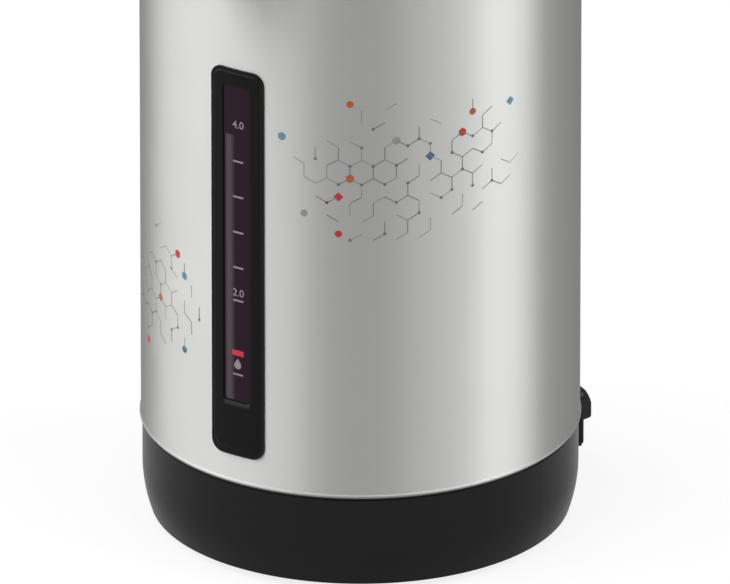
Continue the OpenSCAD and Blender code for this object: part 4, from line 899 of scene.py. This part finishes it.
class POT_OT_lid(Operator):
    """Finishes the lid, its hand pump and its latch"""

    bl_idname = "pot.lid"
    bl_label = "Lid"

    def execute(self, context):
        colours = context.scene.pot_colours
        # ABS from a polished mould, with the clouds of a wide thin cover
        paint(plastic("Gloss black lid ABS", colours.top, 0.2, depth=1.0), "lid_cover")
        # ABS from a spark-eroded mould, for a dry grip under the palm
        paint(plastic("Satin charcoal ABS", "#2c2d30", 0.34, grain=0.4, depth=5.0), "press_plate")
        # Vacuum-metallised ABS, as the keys
        foil = hairline_metal("Metallised latch ABS", colours.silver, 0.3, contrast=0.03, across=(40, 1, 40))
        paint(foil, "lid_latch")
        # PP, moulded: chalk white, satin
        paint(plastic("White polypropylene", "#dddbd4", 0.38, depth=4.0), "lid_base")
        # 18/8 stainless steel, brushed or turned: fine rings round the axis
        drawn = hairline_metal("Brushed stainless steel", "#c4c6c8", 0.28, across=(30, 30, 1))
        paint(drawn, "inner_cover", "lid_hinge_pin", "handle_pins")
        # Silicone, moulded: warm grey, lets a little light in
        paint(elastomer("Grey silicone", "#c9c4ba", 0.5, subsurface=0.1), "lid_gasket")
        # Natural rubber, dipped: amber and matt
        rubber = elastomer("Natural rubber bellows", "#b8946a", 0.6)
        # Drawn spring wire: bright with long soft streaks
        spring = cast_metal("Spring steel", "#a9abae", 0.25, grain=1.5, depth=1.0)
        for node, material, joint in (
            ("bellows", rubber, "press_slide"), ("bellows_spring", spring, "press_slide"),
            ("latch_spring", spring, "latch_slide"),
        ):
            paint(material, node)
            pressed(node, material, "lid")
        return {"FINISHED"}


class POT_OT_handle(Operator):
    """Finishes the handle"""

    bl_idname = "pot.handle"
    bl_label = "Handle"

    def execute(self, context):
        colours = context.scene.pot_colours
        # PP from a spark-eroded mould: black, with a grain that hides scratches
        paint(plastic("Black handle polypropylene", "#1c1c1e", 0.32, grain=0.5, depth=8.0), "handle_bow")
        # TPE moulded over the bow: soft, matt and slightly grey
        paint(elastomer("Soft black grip", colours.grip, 0.62, grain=0.8), "handle_grip")
        return {"FINISHED"}


class POT_OT_works(Operator):
    """Finishes the tank, the heater, the pump and the wiring"""

    bl_idname = "pot.works"
    bl_label = "Works"

    def execute(self, context):
        # Deep-drawn 18/8 stainless steel: rings of fine draw marks, bright
        drawn = hairline_metal("Deep-drawn stainless steel", "#c6c8ca", 0.22, pitch=0.4, across=(60, 60, 1))
        paint(drawn, "inner_tank", "pump_shaft")
        # Die-cast aluminium: pale grey, granular
        paint(cast_metal("Cast aluminium", "#b9bbbd", 0.45), "heater_plate")
        paint(heated_steel("Sheathed heating element"), "heater_elements")
        # Pressed and fired steatite: cream and chalky
        paint(plastic("Steatite ceramic", "#d8d2c3", 0.6, grain=0.5, depth=15.0), "thermostats")
        # Deep-drawn galvanised sheet: grey with a faint spangle
        paint(cast_metal("Galvanised motor can", "#a4a7aa", 0.35), "pump_motor")
        # PSU, moulded: pale grey, hard and glossy
        paint(plastic("Grey polysulfone", "#c3c5c2", 0.35, depth=3.0), "pump_body")
        # PP, moulded: blue, so that it shows whether the pump turns
        paint(plastic("Blue polypropylene", "#3d7cb2", 0.35, depth=3.0), "pump_impeller")
        # Silicone tube, extruded: brick red
        paint(elastomer("Red silicone", "#b8523f", 0.5), "suction_sleeve")
        # Silicone, moulded: milky white ring
        paint(elastomer("White tank silicone", "#dedad0", 0.5, subsurface=0.1), "tank_gasket")
        # Relays and capacitors in epoxy: black, dusty and pitted
        paint(plastic("Black epoxy and tin", "#25282c", 0.4, grain=0.6, depth=10.0), "power_board_parts")
        # Silicone-insulated leads: red, satin
        paint(elastomer("Red wire insulation", "#b32d24", 0.45), "base_wiring")
        # Extruded PVC sleeve: grey, satin
        paint(elastomer("Grey harness sleeve", "#8a8c8f", 0.55), "wire_harness")
        return {"FINISHED"}


class POT_OT_stage(Operator):
    """Makes the floor, the soft lights and the camera"""

    bl_idname = "pot.stage"
    bl_label = "Stage"

    # Soft boxes: name, degrees to the camera's right, height and distance in m, width, height, power in W
    LAMPS = (
        ("left", -98.0, 2.4, 4.0, 5.2, 4.8, 165.0),
        ("left front", -48.0, 2.4, 4.4, 3.4, 4.8, 74.0),
        ("right", 79.0, 2.4, 4.0, 3.0, 4.8, 124.0),
        ("right front", 40.0, 2.4, 4.4, 2.8, 4.8, 31.0),
        ("above", 0.0, 6.8, 1.2, 5.6, 5.6, 150.0),
    )
    LAMP_AIM = Vector((0.0, 0.0, 0.16))
    FLOOR_R, FLOOR_GAP = 6.0, 0.1 * MM  # the floor's radius, and how far it lies under the pot
    RINGS, SIDES = 10, 64

    def execute(self, context):
        scene, studio = context.scene, context.scene.pot_studio
        scene.camera = self.camera(studio)
        scene.world = self.room(studio)
        self.floor(studio)
        for lamp in self.LAMPS:
            self.lamp(studio, *lamp)
        scene.view_settings.view_transform = "Standard"
        return {"FINISHED"}

    @staticmethod
    def seen(tree, mirrored):
        """1 where the camera looks straight at a surface, and that share in gloss or through glass."""
        ray = add(tree, "ShaderNodeLightPath")
        bounce = add(
            tree, "ShaderNodeMath", {0: ray.outputs["Is Glossy Ray"], 1: ray.outputs["Is Transmission Ray"]},
            operation="MAXIMUM",
        )
        dimmed = add(tree, "ShaderNodeMath", {0: bounce.outputs[0], 1: mirrored}, operation="MULTIPLY")
        both = {0: ray.outputs["Is Camera Ray"], 1: dimmed.outputs[0]}
        return add(tree, "ShaderNodeMath", both, operation="MAXIMUM").outputs[0]

    def room(self, studio):
        """A dim room that the camera sees as white."""
        world = bpy.data.worlds.new("Room")
        world.use_nodes = True
        tree = world.node_tree
        seen = self.seen(tree, studio.mirrored_room)
        light = add(tree, "ShaderNodeMapRange", {"Value": seen, "To Min": studio.world, "To Max": 1.0})
        dress(tree.nodes["Background"], color=(1.0, 1.0, 1.0, 1.0), strength=light.outputs[0])
        return world

    def camera(self, studio):
        """The camera, from far away: its picture is width wide at the pot's axis."""
        a, e = studio.azimuth, studio.elevation
        back, right = bearing(a, math.cos(e), math.sin(e)), bearing(a + math.pi / 2, 1.0, 0.0)
        data = bpy.data.cameras.new("Camera")
        data.lens = data.sensor_width * studio.distance / studio.width
        data.clip_start, data.clip_end = 0.5, 100.0
        aim = Vector((0, 0, studio.aim_height)) + right * studio.aim_right
        return self.turned("Camera", data, aim + back * studio.distance, aim)

    def lamp(self, studio, name, aside, height, distance, width, tall, power):
        """A soft box that the camera doesn't see."""
        data = bpy.data.lights.new("Lamp " + name, "AREA")
        data.shape, data.size, data.size_y, data.energy = "RECTANGLE", width, tall, power
        place = bearing(studio.azimuth + math.radians(aside), distance, height)
        self.turned(data.name, data, place, self.LAMP_AIM).visible_camera = False

    @staticmethod
    def turned(name, data, place, aim):
        """A camera or a lamp at a place, turned towards its aim."""
        item = put(name, data)
        item.location = place
        item.rotation_euler = (aim - place).to_track_quat("-Z", "Y").to_euler()
        return item

    def floor(self, studio):
        """A flat round floor: rings of points whose radius grows by the square of their number."""
        radius = self.FLOOR_R * (np.arange(1, self.RINGS + 1) / self.RINGS) ** 2
        flat = radius[:, None, None] * unit(circle(self.SIDES))
        points = np.insert(flat, 2, -self.FLOOR_GAP, axis=-1)
        faces = [*grid_faces(self.RINGS, self.SIDES, closed=True)[:, ::-1], range(self.SIDES)]
        # Seamless paper: matt, with faint fibres 4 mm long, and lifted to white for the camera, so that the
        # pot's shadow stays on it
        material, tree, shader, place = start("Matt white paper")
        tone = mottled(tree, place, 4 * MM, 2.0, studio.floor, 0.004)[1]
        seen = self.seen(tree, studio.mirrored_floor)
        glow = add(tree, "ShaderNodeMapRange", {"Value": seen, "To Min": 0.0, "To Max": studio.lift})
        dress(
            shader, base_color=tone, roughness=0.9, specular_ior_level=0.1,
            emission_color=(1.0, 1.0, 1.0, 1.0), emission_strength=glow.outputs[0],
        )
        put("Floor", new_mesh("Floor", points, faces, [material]))


class POT_PT_sidebar(Panel):
    """Lists the steps that dress the pot"""

    bl_idname = "POT_PT_sidebar"
    bl_label = "Electric thermo pot"
    bl_space_type = "VIEW_3D"
    bl_region_type = "UI"
    bl_category = "Thermo pot"

    def draw(self, context):
        for group in ("pot_colours", "pot_print", "pot_studio"):
            box = self.layout.box()
            properties = getattr(context.scene, group)
            for name in properties.__annotations__:
                box.prop(properties, name)
        for step in STEPS:
            self.layout.operator(step.bl_idname)


GROUPS = {"pot_colours": PotColours, "pot_print": PotPrint, "pot_studio": PotStudio}
STEPS = (
    POT_OT_stage, POT_OT_case, POT_OT_base, POT_OT_inlet, POT_OT_gauge, POT_OT_print, POT_OT_top, POT_OT_lid,
    POT_OT_handle, POT_OT_works,
)


register_classes, unregister_classes = bpy.utils.register_classes_factory(
    (*GROUPS.values(), *STEPS, POT_PT_sidebar)
)


def register():
    register_classes()
    for name, group in GROUPS.items():
        setattr(bpy.types.Scene, name, PointerProperty(type=group))


def unregister():
    for name in GROUPS:
        delattr(bpy.types.Scene, name)
    unregister_classes()


def main():
    register()
    for step in STEPS:
        module, name = step.bl_idname.split(".")
        getattr(getattr(bpy.ops, module), name)()


if __name__ == "__main__":
    main()
